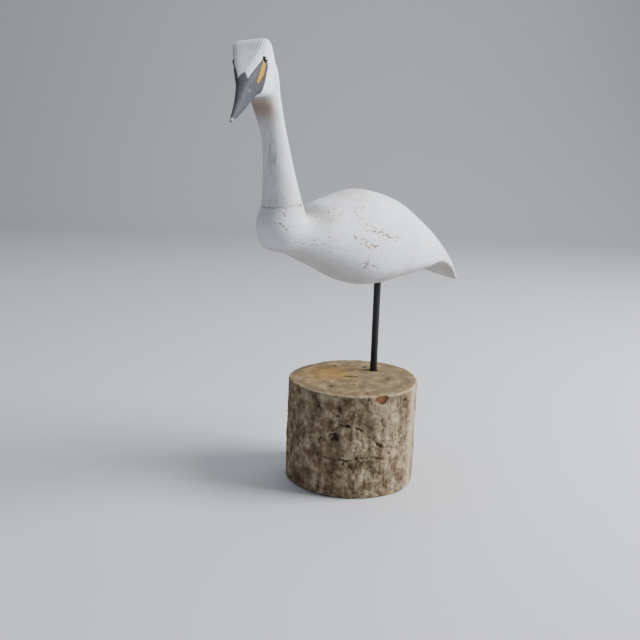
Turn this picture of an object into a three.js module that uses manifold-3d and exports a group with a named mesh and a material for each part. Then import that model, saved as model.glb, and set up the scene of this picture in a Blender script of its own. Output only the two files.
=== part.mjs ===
// Carved wooden heron on one steel rod and a debarked log base.
// Millimetres, +Z up. The log stands on z = 0 with its axis on the z axis.
// The bird's body points to -X and its left side is -Y. Its head is turned to its left.

import * as THREE from 'three';
import { mergeVertices } from 'three/addons/utils/BufferGeometryUtils.js';
import Module from 'manifold-3d';

const wasm = await Module();
wasm.setup();

// Fits
const CLEARANCE = 0.3;

// Log base
const LOG_RADIUS = 55.6;
const LOG_FOOT_RADIUS = 55.9;
const LOG_HEIGHT = 91;
const LOG_EDGE = 4;
const LOG_RIM = 1.2;
const LOG_SOCKET_DEPTH = 26;
const LOG_SIDES = 64;
const LOG_LEVELS = 12;

// Branch scar on the log, a low eye-shaped boss
const SCAR_ANGLE = THREE.MathUtils.degToRad(230);
const SCAR_HEIGHT = 48;
const SCAR_HALF_WIDTH = 12;
const SCAR_HALF_HEIGHT = 9;
const SCAR_RISE = 1.6;

// Rod
const ROD_RADIUS = 6.35 / 2;
const ROD_X = 29.5;
const ROD_Y = 5;
const ROD_TOP = 200;
const ROD_SIDES = 20;

// Body, in the bird's own middle plane: y = 0 there is y = ROD_Y in the frame.
// Each station is a cut through the carving: `back` and `keel` are the ends of the cut in the side
// view as [x, z], `half` is half its width, `widest` where along the cut that width lies, and
// `round` how square it is on the back and on the keel side, where 2 is an ellipse.
const BODY_STATIONS = [
  { name: 'seam', back: [-62.6, 248.2], keel: [-95.4, 244.2], half: 16.2, widest: 0.5, round: [2, 2] },
  { name: 'notch', back: [-58.5, 238], keel: [-99.2, 229], half: 19, widest: 0.5, round: [2, 2.1] },
  { name: 'breast', back: [-56, 236.8], keel: [-91.8, 211], half: 23.5, widest: 0.5, round: [2, 2.2] },
  { name: 'throat', back: [-51, 239], keel: [-71.6, 204.4], half: 29.5, widest: 0.5, round: [2, 2.4] },
  { name: 'shoulder', back: [-37, 247.4], keel: [-45.5, 192.6], half: 35, widest: 0.54, round: [2, 2.3] },
  { name: 'hump', back: [-3, 255.5], keel: [-5, 174.8], half: 39, widest: 0.56, round: [2, 2.4] },
  { name: 'loin', back: [38, 247.6], keel: [36, 175.6], half: 36, widest: 0.6, round: [2, 2.6] },
  { name: 'flank', back: [66, 231], keel: [62, 180.8], half: 31, widest: 0.68, round: [2, 3] },
  { name: 'arch', back: [86.5, 214], keel: [82, 187.4], half: 26, widest: 0.8, round: [2.1, 5] },
  { name: 'droop', back: [101.7, 195], keel: [97.4, 183.2], half: 23.6, widest: 0.84, round: [2.2, 6] },
  { name: 'tip', back: [110.4, 178.6], keel: [106.6, 173.6], half: 22, widest: 0.8, round: [2.4, 4] },
];
const BODY_RINGS = 38;
const BODY_SIDES = 42;
// The tail's end closes with a short lip. It is sawn a little askew along the fall of the back, so
// that its left corner is the lower one.
const TAIL_LIP = 2;
const TAIL_LIP_INSET = 0.3;
const TAIL_LIP_WAY = [0.5, -0.8];
const TAIL_SKEW = 2.6;
const TAIL_SKEW_FROM = 0.86;
const TAIL_FALL = new THREE.Vector2(0.46, -0.89);

// Neck and head
const SEAM_GAP = CLEARANCE;
const NECK_SPINE = [
  [-79, 0, 246.25],
  [-82.3, 0, 268],
  [-87, 0, 296],
  [-95.5, -1, 322],
  [-103.5, -2.5, 343],
  [-107, -4, 354],
];
const NECK_RADII = [16.2, 12.9, 10, 11, 13.7, 11.5];
const NECK_RINGS = 18;
const NECK_SIDES = 28;

const HEAD_TURN = THREE.MathUtils.degToRad(45);
const HEAD_LEAN = THREE.MathUtils.degToRad(7);
const HEAD_PLACE = [-113.9, -8];
// Head cuts along its own forward line. `top` and `under` are heights, `half` is half the width on
// top and under, `aside` how far the cut lies to the left of the line, and `square` is 2 for an
// ellipse and more for a block.
const HEAD_STATIONS = [
  { name: 'nape', at: -17, top: 357, under: 337, half: [13.4, 14.6], aside: 1.6, square: 3 },
  { name: 'crown back', at: -6, top: 369, under: 331, half: [14, 14], aside: 0.3, square: 6 },
  { name: 'eye', at: 8, top: 359.4, under: 329, half: [12.3, 12.3], aside: 0.9, square: 5.5 },
  { name: 'forehead', at: 20, top: 351.1, under: 328.5, half: [8.9, 7.8], aside: 1.3, square: 5 },
  { name: 'bill root', at: 33, top: 342.2, under: 324, half: [4.9, 5], aside: 1.5, square: 4 },
  { name: 'bill middle', at: 55, top: 327, under: 316.5, half: [2.4, 3.4], aside: 0.8, square: 3 },
  { name: 'bill tip', at: 78, top: 311.8, under: 309.4, half: [1.2, 1.4], aside: -1, square: 2.4 },
];
const HEAD_RINGS = 26;
const HEAD_SIDES = 36;

// Eyes, in the head's own frame: forward, up from HEAD_MIDDLE, out from a line EYE_ASIDE to the left
const EYE_RADIUS = 3.2;
const EYE_AT = 11;
const EYE_RISE = 9.7;
const EYE_OUT = 9.4;
const EYE_ASIDE = 1;
const HEAD_MIDDLE = 344.2;

/** Catmull-Rom value through a row of numbers, at t from 0 to 1. */
function through(values, t) {
  const place = t * (values.length - 1);
  const i = Math.min(Math.floor(place), values.length - 2);
  const f = place - i;
  const p1 = values[i];
  const p2 = values[i + 1];
  const p0 = i > 0 ? values[i - 1] : 2 * p1 - p2;
  const p3 = i + 2 < values.length ? values[i + 2] : 2 * p2 - p1;
  const a = 2 * p0 - 5 * p1 + 4 * p2 - p3;
  const b = -p0 + 3 * p1 - 3 * p2 + p3;
  return 0.5 * (2 * p1 + (p2 - p0) * f + a * f * f + b * f * f * f);
}

/** One field of a row of stations, at t from 0 to 1. */
function field(stations, pick, t) {
  return through(stations.map(pick), t);
}

/** Power of a cosine or sine that keeps its sign. */
function signedPower(value, power) {
  return Math.sign(value) * Math.abs(value) ** power;
}

/** Closed solid through rings of equal count, with a fan over each end. */
function loft(rings) {
  const count = rings[0].length;
  const points = rings.flat();
  const faces = [];
  for (let r = 0; r + 1 < rings.length; r += 1) {
    for (let k = 0; k < count; k += 1) {
      const a = r * count + k;
      const b = r * count + ((k + 1) % count);
      faces.push(a, b, a + count, b, b + count, a + count);
    }
  }
  const first = points.length;
  points.push(middleOf(rings[0]), middleOf(rings[rings.length - 1]));
  const last = (rings.length - 1) * count;
  for (let k = 0; k < count; k += 1) {
    const next = (k + 1) % count;
    faces.push(first, next, k);
    faces.push(first + 1, last + k, last + next);
  }
  const geometry = new THREE.BufferGeometry();
  geometry.setAttribute('position', new THREE.Float32BufferAttribute(points.flatMap((p) => p.toArray()), 3));
  geometry.setIndex(faces);
  return outward(geometry);
}

/** Middle point of a ring. */
function middleOf(ring) {
  const sum = ring.reduce((total, p) => total.add(p), new THREE.Vector3());
  return sum.divideScalar(ring.length);
}

/** The same geometry with its faces turned outward. */
function outward(geometry) {
  const position = geometry.getAttribute('position');
  const index = geometry.getIndex();
  const a = new THREE.Vector3();
  const b = new THREE.Vector3();
  const c = new THREE.Vector3();
  let volume = 0;
  for (let i = 0; i < index.count; i += 3) {
    a.fromBufferAttribute(position, index.getX(i));
    b.fromBufferAttribute(position, index.getX(i + 1));
    c.fromBufferAttribute(position, index.getX(i + 2));
    volume += a.dot(b.cross(c));
  }
  if (volume < 0) {
    const turned = Array.from(index.array).reverse();
    geometry.setIndex(turned);
  }
  return geometry;
}

/** A manifold solid from a closed geometry. */
function solidOf(geometry) {
  const bare = geometry.clone();
  bare.deleteAttribute('normal');
  bare.deleteAttribute('uv');
  const merged = mergeVertices(bare, 1e-4);
  const mesh = new wasm.Mesh({
    numProp: 3,
    vertProperties: new Float32Array(merged.getAttribute('position').array),
    triVerts: new Uint32Array(merged.getIndex().array),
  });
  return new wasm.Manifold(mesh);
}

/** A geometry from a manifold solid. */
function geometryOf(solid) {
  const mesh = solid.getMesh();
  const geometry = new THREE.BufferGeometry();
  geometry.setAttribute('position', new THREE.BufferAttribute(new Float32Array(mesh.vertProperties), 3));
  geometry.setIndex(Array.from(mesh.triVerts));
  return geometry;
}

/** Upright cylinder from one height to another. */
function post(radius, from, to, x, y) {
  const geometry = new THREE.CylinderGeometry(radius, radius, to - from, ROD_SIDES);
  geometry.rotateX(Math.PI / 2);
  geometry.translate(x, y, (from + to) / 2);
  return geometry;
}

/** One ring of the body at t from 0 at the seam to 1 at the tail's tip. */
function bodyRing(t) {
  const at = (pick) => field(BODY_STATIONS, pick, t);
  const back = new THREE.Vector2(at((s) => s.back[0]), at((s) => s.back[1]));
  const keel = new THREE.Vector2(at((s) => s.keel[0]), at((s) => s.keel[1]));
  const half = at((s) => s.half);
  const widest = at((s) => s.widest);
  const squareness = [at((s) => s.round[0]), at((s) => s.round[1])];
  const skew = TAIL_SKEW * Math.max(0, (t - TAIL_SKEW_FROM) / (1 - TAIL_SKEW_FROM));
  const ring = [];
  for (let k = 0; k < BODY_SIDES; k += 1) {
    const angle = (2 * Math.PI * k) / BODY_SIDES;
    const up = Math.cos(angle);
    const power = 2 / (up >= 0 ? squareness[0] : squareness[1]);
    const reach = Math.abs(up) ** power;
    const along = up >= 0 ? widest * (1 - reach) : widest + (1 - widest) * reach;
    const side = half * signedPower(Math.sin(angle), power);
    const point = back.clone().lerp(keel, along).addScaledVector(TAIL_FALL, (-skew * side) / half);
    ring.push(new THREE.Vector3(point.x, ROD_Y + side, point.y));
  }
  return ring;
}

/** The carved body, with the rod's socket drilled into the belly. */
function bodyGeometry() {
  const rings = [];
  for (let r = 0; r < BODY_RINGS; r += 1) {
    rings.push(bodyRing(r / (BODY_RINGS - 1)));
  }
  const lip = rings[BODY_RINGS - 1];
  const heart = middleOf(lip);
  const beyond = new THREE.Vector3(TAIL_LIP_WAY[0], 0, TAIL_LIP_WAY[1]).multiplyScalar(TAIL_LIP);
  rings.push(lip.map((p) => p.clone().lerp(heart, TAIL_LIP_INSET).add(beyond)));
  const carving = solidOf(loft(rings));
  const socket = solidOf(post(ROD_RADIUS + CLEARANCE, 0, ROD_TOP + CLEARANCE, ROD_X, ROD_Y));
  return geometryOf(carving.subtract(socket));
}

/** Neck: round cuts square to a curved middle line, from the seam into the head. */
function neckGeometry() {
  const points = NECK_SPINE.map((p) => new THREE.Vector3(p[0], ROD_Y + p[1], p[2]));
  const spine = new THREE.CatmullRomCurve3(points);
  const seam = BODY_STATIONS[0];
  const seamSlope = Math.atan2(seam.back[1] - seam.keel[1], seam.back[0] - seam.keel[0]);
  const rings = [];
  for (let r = 0; r < NECK_RINGS; r += 1) {
    const t = r / (NECK_RINGS - 1);
    const middle = spine.getPoint(t);
    const radius = through(NECK_RADII, t);
    const tangent = spine.getTangent(t);
    if (r === 0) {
      tangent.set(-Math.sin(seamSlope), 0, Math.cos(seamSlope));
      middle.addScaledVector(tangent, SEAM_GAP);
    }
    const fore = new THREE.Vector3(-1, 0, 0);
    fore.addScaledVector(tangent, -fore.dot(tangent)).normalize();
    const side = new THREE.Vector3().crossVectors(tangent, fore);
    const ring = [];
    for (let k = 0; k < NECK_SIDES; k += 1) {
      const angle = (2 * Math.PI * k) / NECK_SIDES;
      const p = middle.clone();
      p.addScaledVector(fore, radius * Math.cos(angle));
      p.addScaledVector(side, radius * Math.sin(angle));
      ring.push(p);
    }
    rings.push(ring);
  }
  return loft(rings);
}

/** A place in the head's own frame: forward, to its left, and up from a height on its middle line. */
function headPoint(forward, across, rise, height) {
  const left = across * Math.cos(HEAD_LEAN) - rise * Math.sin(HEAD_LEAN);
  const z = height + rise * Math.cos(HEAD_LEAN) + across * Math.sin(HEAD_LEAN);
  const x = -Math.cos(HEAD_TURN) * forward + Math.sin(HEAD_TURN) * left;
  const y = -Math.sin(HEAD_TURN) * forward - Math.cos(HEAD_TURN) * left;
  return new THREE.Vector3(HEAD_PLACE[0] + x, ROD_Y + HEAD_PLACE[1] + y, z);
}

/** Level direction to the head's own left. */
function headLeft() {
  return new THREE.Vector3(Math.sin(HEAD_TURN), -Math.cos(HEAD_TURN), 0);
}

/** Head and bill: blocky cuts along the head's forward line. */
function headGeometry() {
  const rings = [];
  for (let r = 0; r < HEAD_RINGS; r += 1) {
    const t = r / (HEAD_RINGS - 1);
    const at = (pick) => field(HEAD_STATIONS, pick, t);
    const forward = at((s) => s.at);
    const top = at((s) => s.top);
    const under = at((s) => s.under);
    const halfTop = at((s) => s.half[0]);
    const halfUnder = at((s) => s.half[1]);
    const aside = at((s) => s.aside);
    const power = 2 / at((s) => s.square);
    const ring = [];
    for (let k = 0; k < HEAD_SIDES; k += 1) {
      const angle = (2 * Math.PI * k) / HEAD_SIDES;
      const down = 0.5 - 0.5 * signedPower(Math.cos(angle), power);
      const half = THREE.MathUtils.lerp(halfTop, halfUnder, down);
      const across = half * signedPower(Math.sin(angle), power);
      const rise = (0.5 - down) * (top - under);
      const point = headPoint(forward, across, rise, (top + under) / 2);
      ring.push(point.add(headLeft().multiplyScalar(aside)));
    }
    rings.push(ring);
  }
  return loft(rings);
}

/** Glass eye, a small ball let into the side of the head. */
function eyeGeometry(side, radius) {
  const geometry = new THREE.SphereGeometry(radius, 14, 8);
  const middle = headPoint(EYE_AT, side * EYE_OUT + EYE_ASIDE, EYE_RISE, HEAD_MIDDLE);
  geometry.translate(middle.x, middle.y, middle.z);
  return geometry;
}

/** Neck, head and bill as one carving, with both eye sockets cut. */
function neckAndHeadGeometry() {
  const carving = solidOf(neckGeometry()).add(solidOf(headGeometry()));
  const sockets = [1, -1].map((side) => solidOf(eyeGeometry(side, EYE_RADIUS + CLEARANCE)));
  return geometryOf(carving.subtract(sockets[0]).subtract(sockets[1]));
}

/** Height of the branch scar's boss over the log's side. */
function scarRise(angle, height) {
  const turn = angle - SCAR_ANGLE;
  const across = (Math.atan2(Math.sin(turn), Math.cos(turn)) * LOG_RADIUS) / SCAR_HALF_WIDTH;
  const up = (height - SCAR_HEIGHT) / SCAR_HALF_HEIGHT;
  return SCAR_RISE * Math.exp(-(across * across + up * up));
}

/** Radius of the log at an angle and a height. */
function logRadius(angle, height) {
  const share = height / LOG_HEIGHT;
  const base = THREE.MathUtils.lerp(LOG_FOOT_RADIUS, LOG_RADIUS, share);
  const oval = 0.9 * Math.cos(2 * angle + 0.6);
  const lobes = 0.7 * Math.cos(3 * angle - 1.1) + 0.5 * Math.cos(5 * angle + 0.4);
  const knots = 0.4 * Math.cos(9 * angle + 6 * share) * Math.sin(Math.PI * share);
  return base + oval + lobes + knots + scarRise(angle, height);
}

/** Debarked log slice with the rod's socket drilled into its top. */
function logGeometry() {
  const rings = [];
  const ringAt = (height, inset) => {
    const ring = [];
    for (let k = 0; k < LOG_SIDES; k += 1) {
      const angle = (2 * Math.PI * k) / LOG_SIDES;
      const radius = logRadius(angle, height) - inset;
      ring.push(new THREE.Vector3(radius * Math.cos(angle), radius * Math.sin(angle), height));
    }
    return ring;
  };
  rings.push(ringAt(0, LOG_EDGE));
  rings.push(ringAt(LOG_EDGE * 0.35, LOG_EDGE * 0.4));
  for (let level = 0; level <= LOG_LEVELS; level += 1) {
    const height = LOG_EDGE + ((LOG_HEIGHT - LOG_EDGE - LOG_RIM) * level) / LOG_LEVELS;
    rings.push(ringAt(height, 0));
  }
  rings.push(ringAt(LOG_HEIGHT, LOG_RIM));
  const slice = solidOf(loft(rings));
  const floor = LOG_HEIGHT - LOG_SOCKET_DEPTH;
  const socket = solidOf(post(ROD_RADIUS + CLEARANCE, floor, LOG_HEIGHT + LOG_EDGE, ROD_X, ROD_Y));
  return geometryOf(slice.subtract(socket));
}

/** One named mesh with its own material. */
function piece(name, geometry, colour, roughness, metalness) {
  const material = new THREE.MeshStandardMaterial({ color: colour, roughness, metalness });
  const mesh = new THREE.Mesh(geometry, material);
  mesh.name = name;
  return mesh;
}

const rodFoot = LOG_HEIGHT - LOG_SOCKET_DEPTH + CLEARANCE;

const heron = new THREE.Group();
heron.name = 'heron';
heron.add(
  piece('log', logGeometry(), 0x8c7b66, 0.9, 0),
  piece('rod', post(ROD_RADIUS, rodFoot, ROD_TOP, ROD_X, ROD_Y), 0x23252a, 0.45, 0.7),
  piece('body', bodyGeometry(), 0xdcdcda, 0.7, 0),
  piece('neck_and_head', neckAndHeadGeometry(), 0xdcdcda, 0.7, 0),
  piece('eye_left', eyeGeometry(1, EYE_RADIUS), 0x0c0c0e, 0.1, 0),
  piece('eye_right', eyeGeometry(-1, EYE_RADIUS), 0x0c0c0e, 0.1, 0),
);

export default heron;
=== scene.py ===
"""Whitewashed carved heron on one steel rod in a slice of debarked log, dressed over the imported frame.

Sizes are millimetres in the row's frame: the log stands on z = 0 with its axis on the z axis, the bird's
body points to -X and its left side is -Y. Meshes are turned to metres when they are made.
"""

import logging
import math
from dataclasses import dataclass, field
from enum import Enum
from typing import Any, Sequence

import bmesh
import bpy
import numpy as np
from mathutils import Matrix, Vector, kdtree


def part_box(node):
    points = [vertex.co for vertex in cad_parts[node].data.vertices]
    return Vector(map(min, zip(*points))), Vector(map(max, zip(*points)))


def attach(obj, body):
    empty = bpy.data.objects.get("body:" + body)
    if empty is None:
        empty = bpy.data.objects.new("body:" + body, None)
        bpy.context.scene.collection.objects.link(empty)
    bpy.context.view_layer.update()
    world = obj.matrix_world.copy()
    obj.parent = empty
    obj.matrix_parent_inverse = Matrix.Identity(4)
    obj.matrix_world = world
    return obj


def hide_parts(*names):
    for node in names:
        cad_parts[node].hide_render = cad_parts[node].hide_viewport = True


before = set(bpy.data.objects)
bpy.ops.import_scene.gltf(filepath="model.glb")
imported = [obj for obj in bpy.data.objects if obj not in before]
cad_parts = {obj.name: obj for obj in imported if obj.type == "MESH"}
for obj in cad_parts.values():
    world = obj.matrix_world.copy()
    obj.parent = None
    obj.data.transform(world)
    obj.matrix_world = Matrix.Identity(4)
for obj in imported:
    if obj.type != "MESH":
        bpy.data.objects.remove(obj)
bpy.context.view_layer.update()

MM = 0.001
BODY_NAME = "root"
Array = np.ndarray

log = logging.getLogger("heron")


class Slot(Enum):
    """Material slots of the part's record."""

    LOG = "log_wood"
    ROD = "rod_steel"
    WHITE = "whitewashed_wood"
    EYE = "eye_glass"


class Mask(Enum):
    """Painted and worn areas, painted shade and painted highlight that a mesh hands to its finish, one number a point.
    """

    GRIME_AND_SHADE = "grime"
    PORES = "pores"
    WORN = "worn"
    BILL = "bill_grey"
    LORE = "lore_yellow"
    LINE = "fine_line"
    COMB = "comb"
    RING = "eye_ring"
    HOLLOW_SHADE_AND_STAIN = "cavity"
    PALE_WEAR_AND_HIGHLIGHT = "pale"
    CHIP = "chip"
    WARM_TINT_AND_SHADE = "warm"
    FLECK = "fleck"


class Grain(Enum):
    """Which way the wood's grain runs, as the stretch of a pattern along x, y and z."""

    BODY = (0.16, 1.0, 1.0)
    NECK = (1.0, 1.0, 0.14)


# Numbers and curves


def srgb(code: str) -> tuple[float, float, float, float]:
    """Turns an sRGB hex colour to the linear colour that a node takes.

    Args:
        code: Six hex digits after a hash.

    Returns:
        Linear red, green and blue, and 1 for alpha.
    """
    parts = [int(code[i : i + 2], 16) / 255 for i in (1, 3, 5)]
    linear = [c / 12.92 if c <= 0.04045 else ((c + 0.055) / 1.055) ** 2.4 for c in parts]
    return (linear[0], linear[1], linear[2], 1.0)


def through(rows: Any, t: Array) -> Array:
    """Catmull-Rom values through evenly spaced rows.

    Args:
        rows: One number or one row of numbers a station.
        t: Places between 0 and 1.

    Returns:
        One value or row for each place.
    """
    values = np.asarray(rows, float)
    padded = np.concatenate([[2 * values[0] - values[1]], values, [2 * values[-1] - values[-2]]])
    place = np.clip(t, 0, 1) * (len(values) - 1)
    i = np.minimum(place.astype(int), len(values) - 2)
    f = place - i
    if values.ndim == 2:
        f = f[:, None]
    p0, p1, p2, p3 = padded[i], padded[i + 1], padded[i + 2], padded[i + 3]
    a = 2 * p0 - 5 * p1 + 4 * p2 - p3
    b = -p0 + 3 * p1 - 3 * p2 + p3
    return 0.5 * (2 * p1 + (p2 - p0) * f + a * f * f + b * f * f * f)


def signed_power(value: Array, power: Array | float) -> Array:
    """Power of a cosine or sine that keeps its sign."""
    return np.sign(value) * np.abs(value) ** power


def step(value: Array, low: float, high: float) -> Array:
    """Smooth step from 0 at low to 1 at high, where low may be the larger."""
    t = np.clip((value - low) / (high - low), 0, 1)
    return t * t * (3 - 2 * t)


def bell(value: Array, width: float) -> Array:
    """Bell curve that is 1 at 0 and falls off over a width."""
    return np.exp(-((value / width) ** 2))


def lattice(cell: Array, seed: int) -> Array:
    """Fixed pseudo-random number between -1 and 1 for each cell of a lattice.

    Args:
        cell: Whole numbers, three a row.
        seed: Which set of numbers.

    Returns:
        One number a row.
    """
    c = cell.astype(np.int64).astype(np.uint32)
    mixed = c[:, 0] * np.uint32(73856093) ^ c[:, 1] * np.uint32(19349663) ^ c[:, 2] * np.uint32(83492791)
    mixed = mixed ^ np.uint32(seed * 7919 + 17)
    mixed = (mixed ^ (mixed >> np.uint32(13))) * np.uint32(1274126177)
    mixed = (mixed ^ (mixed >> np.uint32(16))) * np.uint32(2246822519)
    return (mixed >> np.uint32(8)).astype(float) / float(1 << 23) - 1


def bumps(points: Array, size: float, seed: int, octaves: int = 1) -> Array:
    """Smooth noise between about -1 and 1.

    Args:
        points: Places in mm, three numbers a row.
        size: Width of a bump in mm.
        seed: Which noise.
        octaves: How many finer layers are added, each half as wide and half as high.

    Returns:
        One number a place.
    """
    total = np.zeros(len(points))
    for octave in range(octaves):
        place = points / (size / 2**octave)
        cell = np.floor(place)
        part = place - cell
        fade = part * part * (3 - 2 * part)
        for corner in range(8):
            offset = np.array([corner & 1, corner >> 1 & 1, corner >> 2 & 1])
            weight = np.prod(np.where(offset == 1, fade, 1 - fade), axis=1)
            total += weight * lattice(cell + offset, seed + octave) / 2**octave
    return total


def line_distance(points: Array, line: Sequence[Sequence[float]]) -> Array:
    """Distance from flat points to a line of several stretches.

    Args:
        points: Two numbers a row.
        line: The line's corners, two numbers each.

    Returns:
        One distance a point.
    """
    nearest = np.full(len(points), 1e9)
    for start, end in zip(line[:-1], line[1:]):
        a = np.asarray(start, float)
        along = np.asarray(end, float) - a
        t = np.clip((points - a) @ along / (along @ along), 0, 1)
        nearest = np.minimum(nearest, np.linalg.norm(points - a - t[:, None] * along, axis=1))
    return nearest


# Meshes


def skin(name: str, rows: Array) -> bpy.types.Object:
    """Closed skin over rings of equal count, with a fan at each end.

    Args:
        name: The object's name.
        rows: Rings in mm, as an array of ring, place on the ring and x, y, z.

    Returns:
        The object, linked to the scene, with its faces pointing out.
    """
    count, sides = rows.shape[:2]
    points = np.concatenate([rows.reshape(-1, 3), rows[0].mean(0)[None], rows[-1].mean(0)[None]])
    ring = np.arange(sides)
    after = (ring + 1) % sides
    faces: list[tuple[int, ...]] = []
    for r in range(count - 1):
        low = r * sides
        quads = np.stack([low + ring, low + after, low + sides + after, low + sides + ring], 1)
        faces.extend(map(tuple, quads.tolist()))
    first = count * sides
    last = (count - 1) * sides
    faces.extend((first, int(b), int(a)) for a, b in zip(ring, after))
    faces.extend((first + 1, last + int(a), last + int(b)) for a, b in zip(ring, after))
    mesh = bpy.data.meshes.new(name)
    mesh.from_pydata((points * MM).tolist(), [], faces)
    mesh.update()
    shape = bmesh.new()
    shape.from_mesh(mesh)
    if shape.calc_volume(signed=True) < 0:
        bmesh.ops.reverse_faces(shape, faces=shape.faces)
        shape.to_mesh(mesh)
    shape.free()
    return link(name, mesh)


def link(name: str, mesh: bpy.types.Mesh) -> bpy.types.Object:
    """Puts a mesh in the scene under a name."""
    made = bpy.data.objects.new(name, mesh)
    bpy.context.scene.collection.objects.link(made)
    return made


def places(piece: bpy.types.Object) -> Array:
    """The piece's points in mm, three numbers a row."""
    flat = np.empty(len(piece.data.vertices) * 3)
    piece.data.vertices.foreach_get("co", flat)
    return flat.reshape(-1, 3) / MM


def put(piece: bpy.types.Object, points: Array) -> None:
    """Moves the piece's points to places in mm."""
    piece.data.vertices.foreach_set("co", (points * MM).ravel())
    piece.data.update()


def normals(piece: bpy.types.Object) -> Array:
    """The piece's point normals, three numbers a row."""
    flat = np.empty(len(piece.data.vertices) * 3)
    piece.data.vertices.foreach_get("normal", flat)
    return flat.reshape(-1, 3)


def press(piece: bpy.types.Object, height: Array) -> None:
    """Moves each point along its normal.

    Args:
        piece: The mesh object.
        height: How far out in mm, one number a point.
    """
    put(piece, places(piece) + normals(piece) * height[:, None])


def refine(piece: bpy.types.Object, wanted: Array, cuts: int = 1) -> None:
    """Splits the faces of a region into finer ones.

    Args:
        piece: The mesh object.
        wanted: True for each point of the region.
        cuts: How many cuts each edge of the region gets.
    """
    shape = bmesh.new()
    shape.from_mesh(piece.data)
    shape.verts.ensure_lookup_table()
    edges = [e for e in shape.edges if wanted[e.verts[0].index] and wanted[e.verts[1].index]]
    bmesh.ops.subdivide_edges(shape, edges=edges, cuts=cuts, use_grid_fill=True, smooth=0.0)
    shape.to_mesh(piece.data)
    shape.free()


def relax(piece: bpy.types.Object, weight: Array, rounds: int) -> None:
    """Draws points towards the middle of their neighbours.

    Args:
        piece: The mesh object.
        weight: How far a point moves each round, from 0 to 1.
        rounds: How many times.
    """
    edges = np.empty(len(piece.data.edges) * 2, int)
    piece.data.edges.foreach_get("vertices", edges)
    a, b = edges.reshape(-1, 2).T
    points = places(piece)
    count = np.bincount(a, minlength=len(points)) + np.bincount(b, minlength=len(points))
    for _ in range(rounds):
        middle = np.zeros_like(points)
        for axis in range(3):
            middle[:, axis] += np.bincount(a, points[b, axis], len(points))
            middle[:, axis] += np.bincount(b, points[a, axis], len(points))
        points += (middle / count[:, None] - points) * weight[:, None]
    put(piece, points)


def mark(piece: bpy.types.Object, mask: Mask, values: Array) -> None:
    """Stores one number a point, which the piece's finish reads."""
    layer = piece.data.attributes.new(mask.value, "FLOAT", "POINT")
    layer.data.foreach_set("value", np.clip(values, 0, 1).astype(np.float32))


def smooth(piece: bpy.types.Object, crease: float) -> None:
    """Shades the piece smooth, with a crease where faces meet at more than an angle in degrees."""
    piece.data.polygons.foreach_set("use_smooth", [True] * len(piece.data.polygons))
    piece.data.set_sharp_from_angle(angle=math.radians(crease))
    piece.data.update()


def finish_piece(piece: bpy.types.Object, material: bpy.types.Material, slot: Slot, *nodes: str) -> None:
    """Gives a piece its finish and its place in the frame.

    Args:
        piece: The mesh object, in place.
        material: Its finish.
        slot: Not used.
        nodes: The CAD nodes that it stands for.
    """
    piece.data.materials.append(material)
    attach(piece, BODY_NAME)
    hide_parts(*nodes)
    log.info("%s: %d points", piece.name, len(piece.data.vertices))


# Finishes


def add(
    tree: bpy.types.NodeTree,
    kind: str,
    settings: dict[str, Any] | None = None,
    inputs: dict[Any, Any] | None = None,
) -> bpy.types.Node:
    """Adds one node.

    Args:
        tree: The material's tree.
        kind: The node's type.
        settings: Its own settings by name. `stops` gives a colour ramp's places and colours.
        inputs: A value, or an output to link, for each input by name or number.

    Returns:
        The node.
    """
    node = tree.nodes.new(kind)
    for key, value in (settings or {}).items():
        if key == "stops":
            ramp = node.color_ramp
            while len(ramp.elements) < len(value):
                ramp.elements.new(0.5)
            for element, (place, colour) in zip(ramp.elements, value):
                element.position = place
                element.color = colour
        else:
            setattr(node, key, value)
    for key, value in (inputs or {}).items():
        if isinstance(value, bpy.types.NodeSocket):
            tree.links.new(value, node.inputs[key])
        else:
            node.inputs[key].default_value = value
    return node


MIX = {"data_type": "RGBA"}
MULTIPLY = {"data_type": "RGBA", "blend_type": "MULTIPLY"}
FACTOR, COLOUR_A, COLOUR_B, MIXED = 0, 6, 7, 2


def new_material(name: str) -> tuple[bpy.types.Material, bpy.types.NodeTree]:
    """An empty node material and its tree."""
    material = bpy.data.materials.new(name)
    material.use_nodes = True
    material.node_tree.nodes.clear()
    return material, material.node_tree


def per_mm(size: float) -> float:
    """Scale of a pattern in metres whose features are so many mm wide."""
    return 1 / (size * MM)


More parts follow.
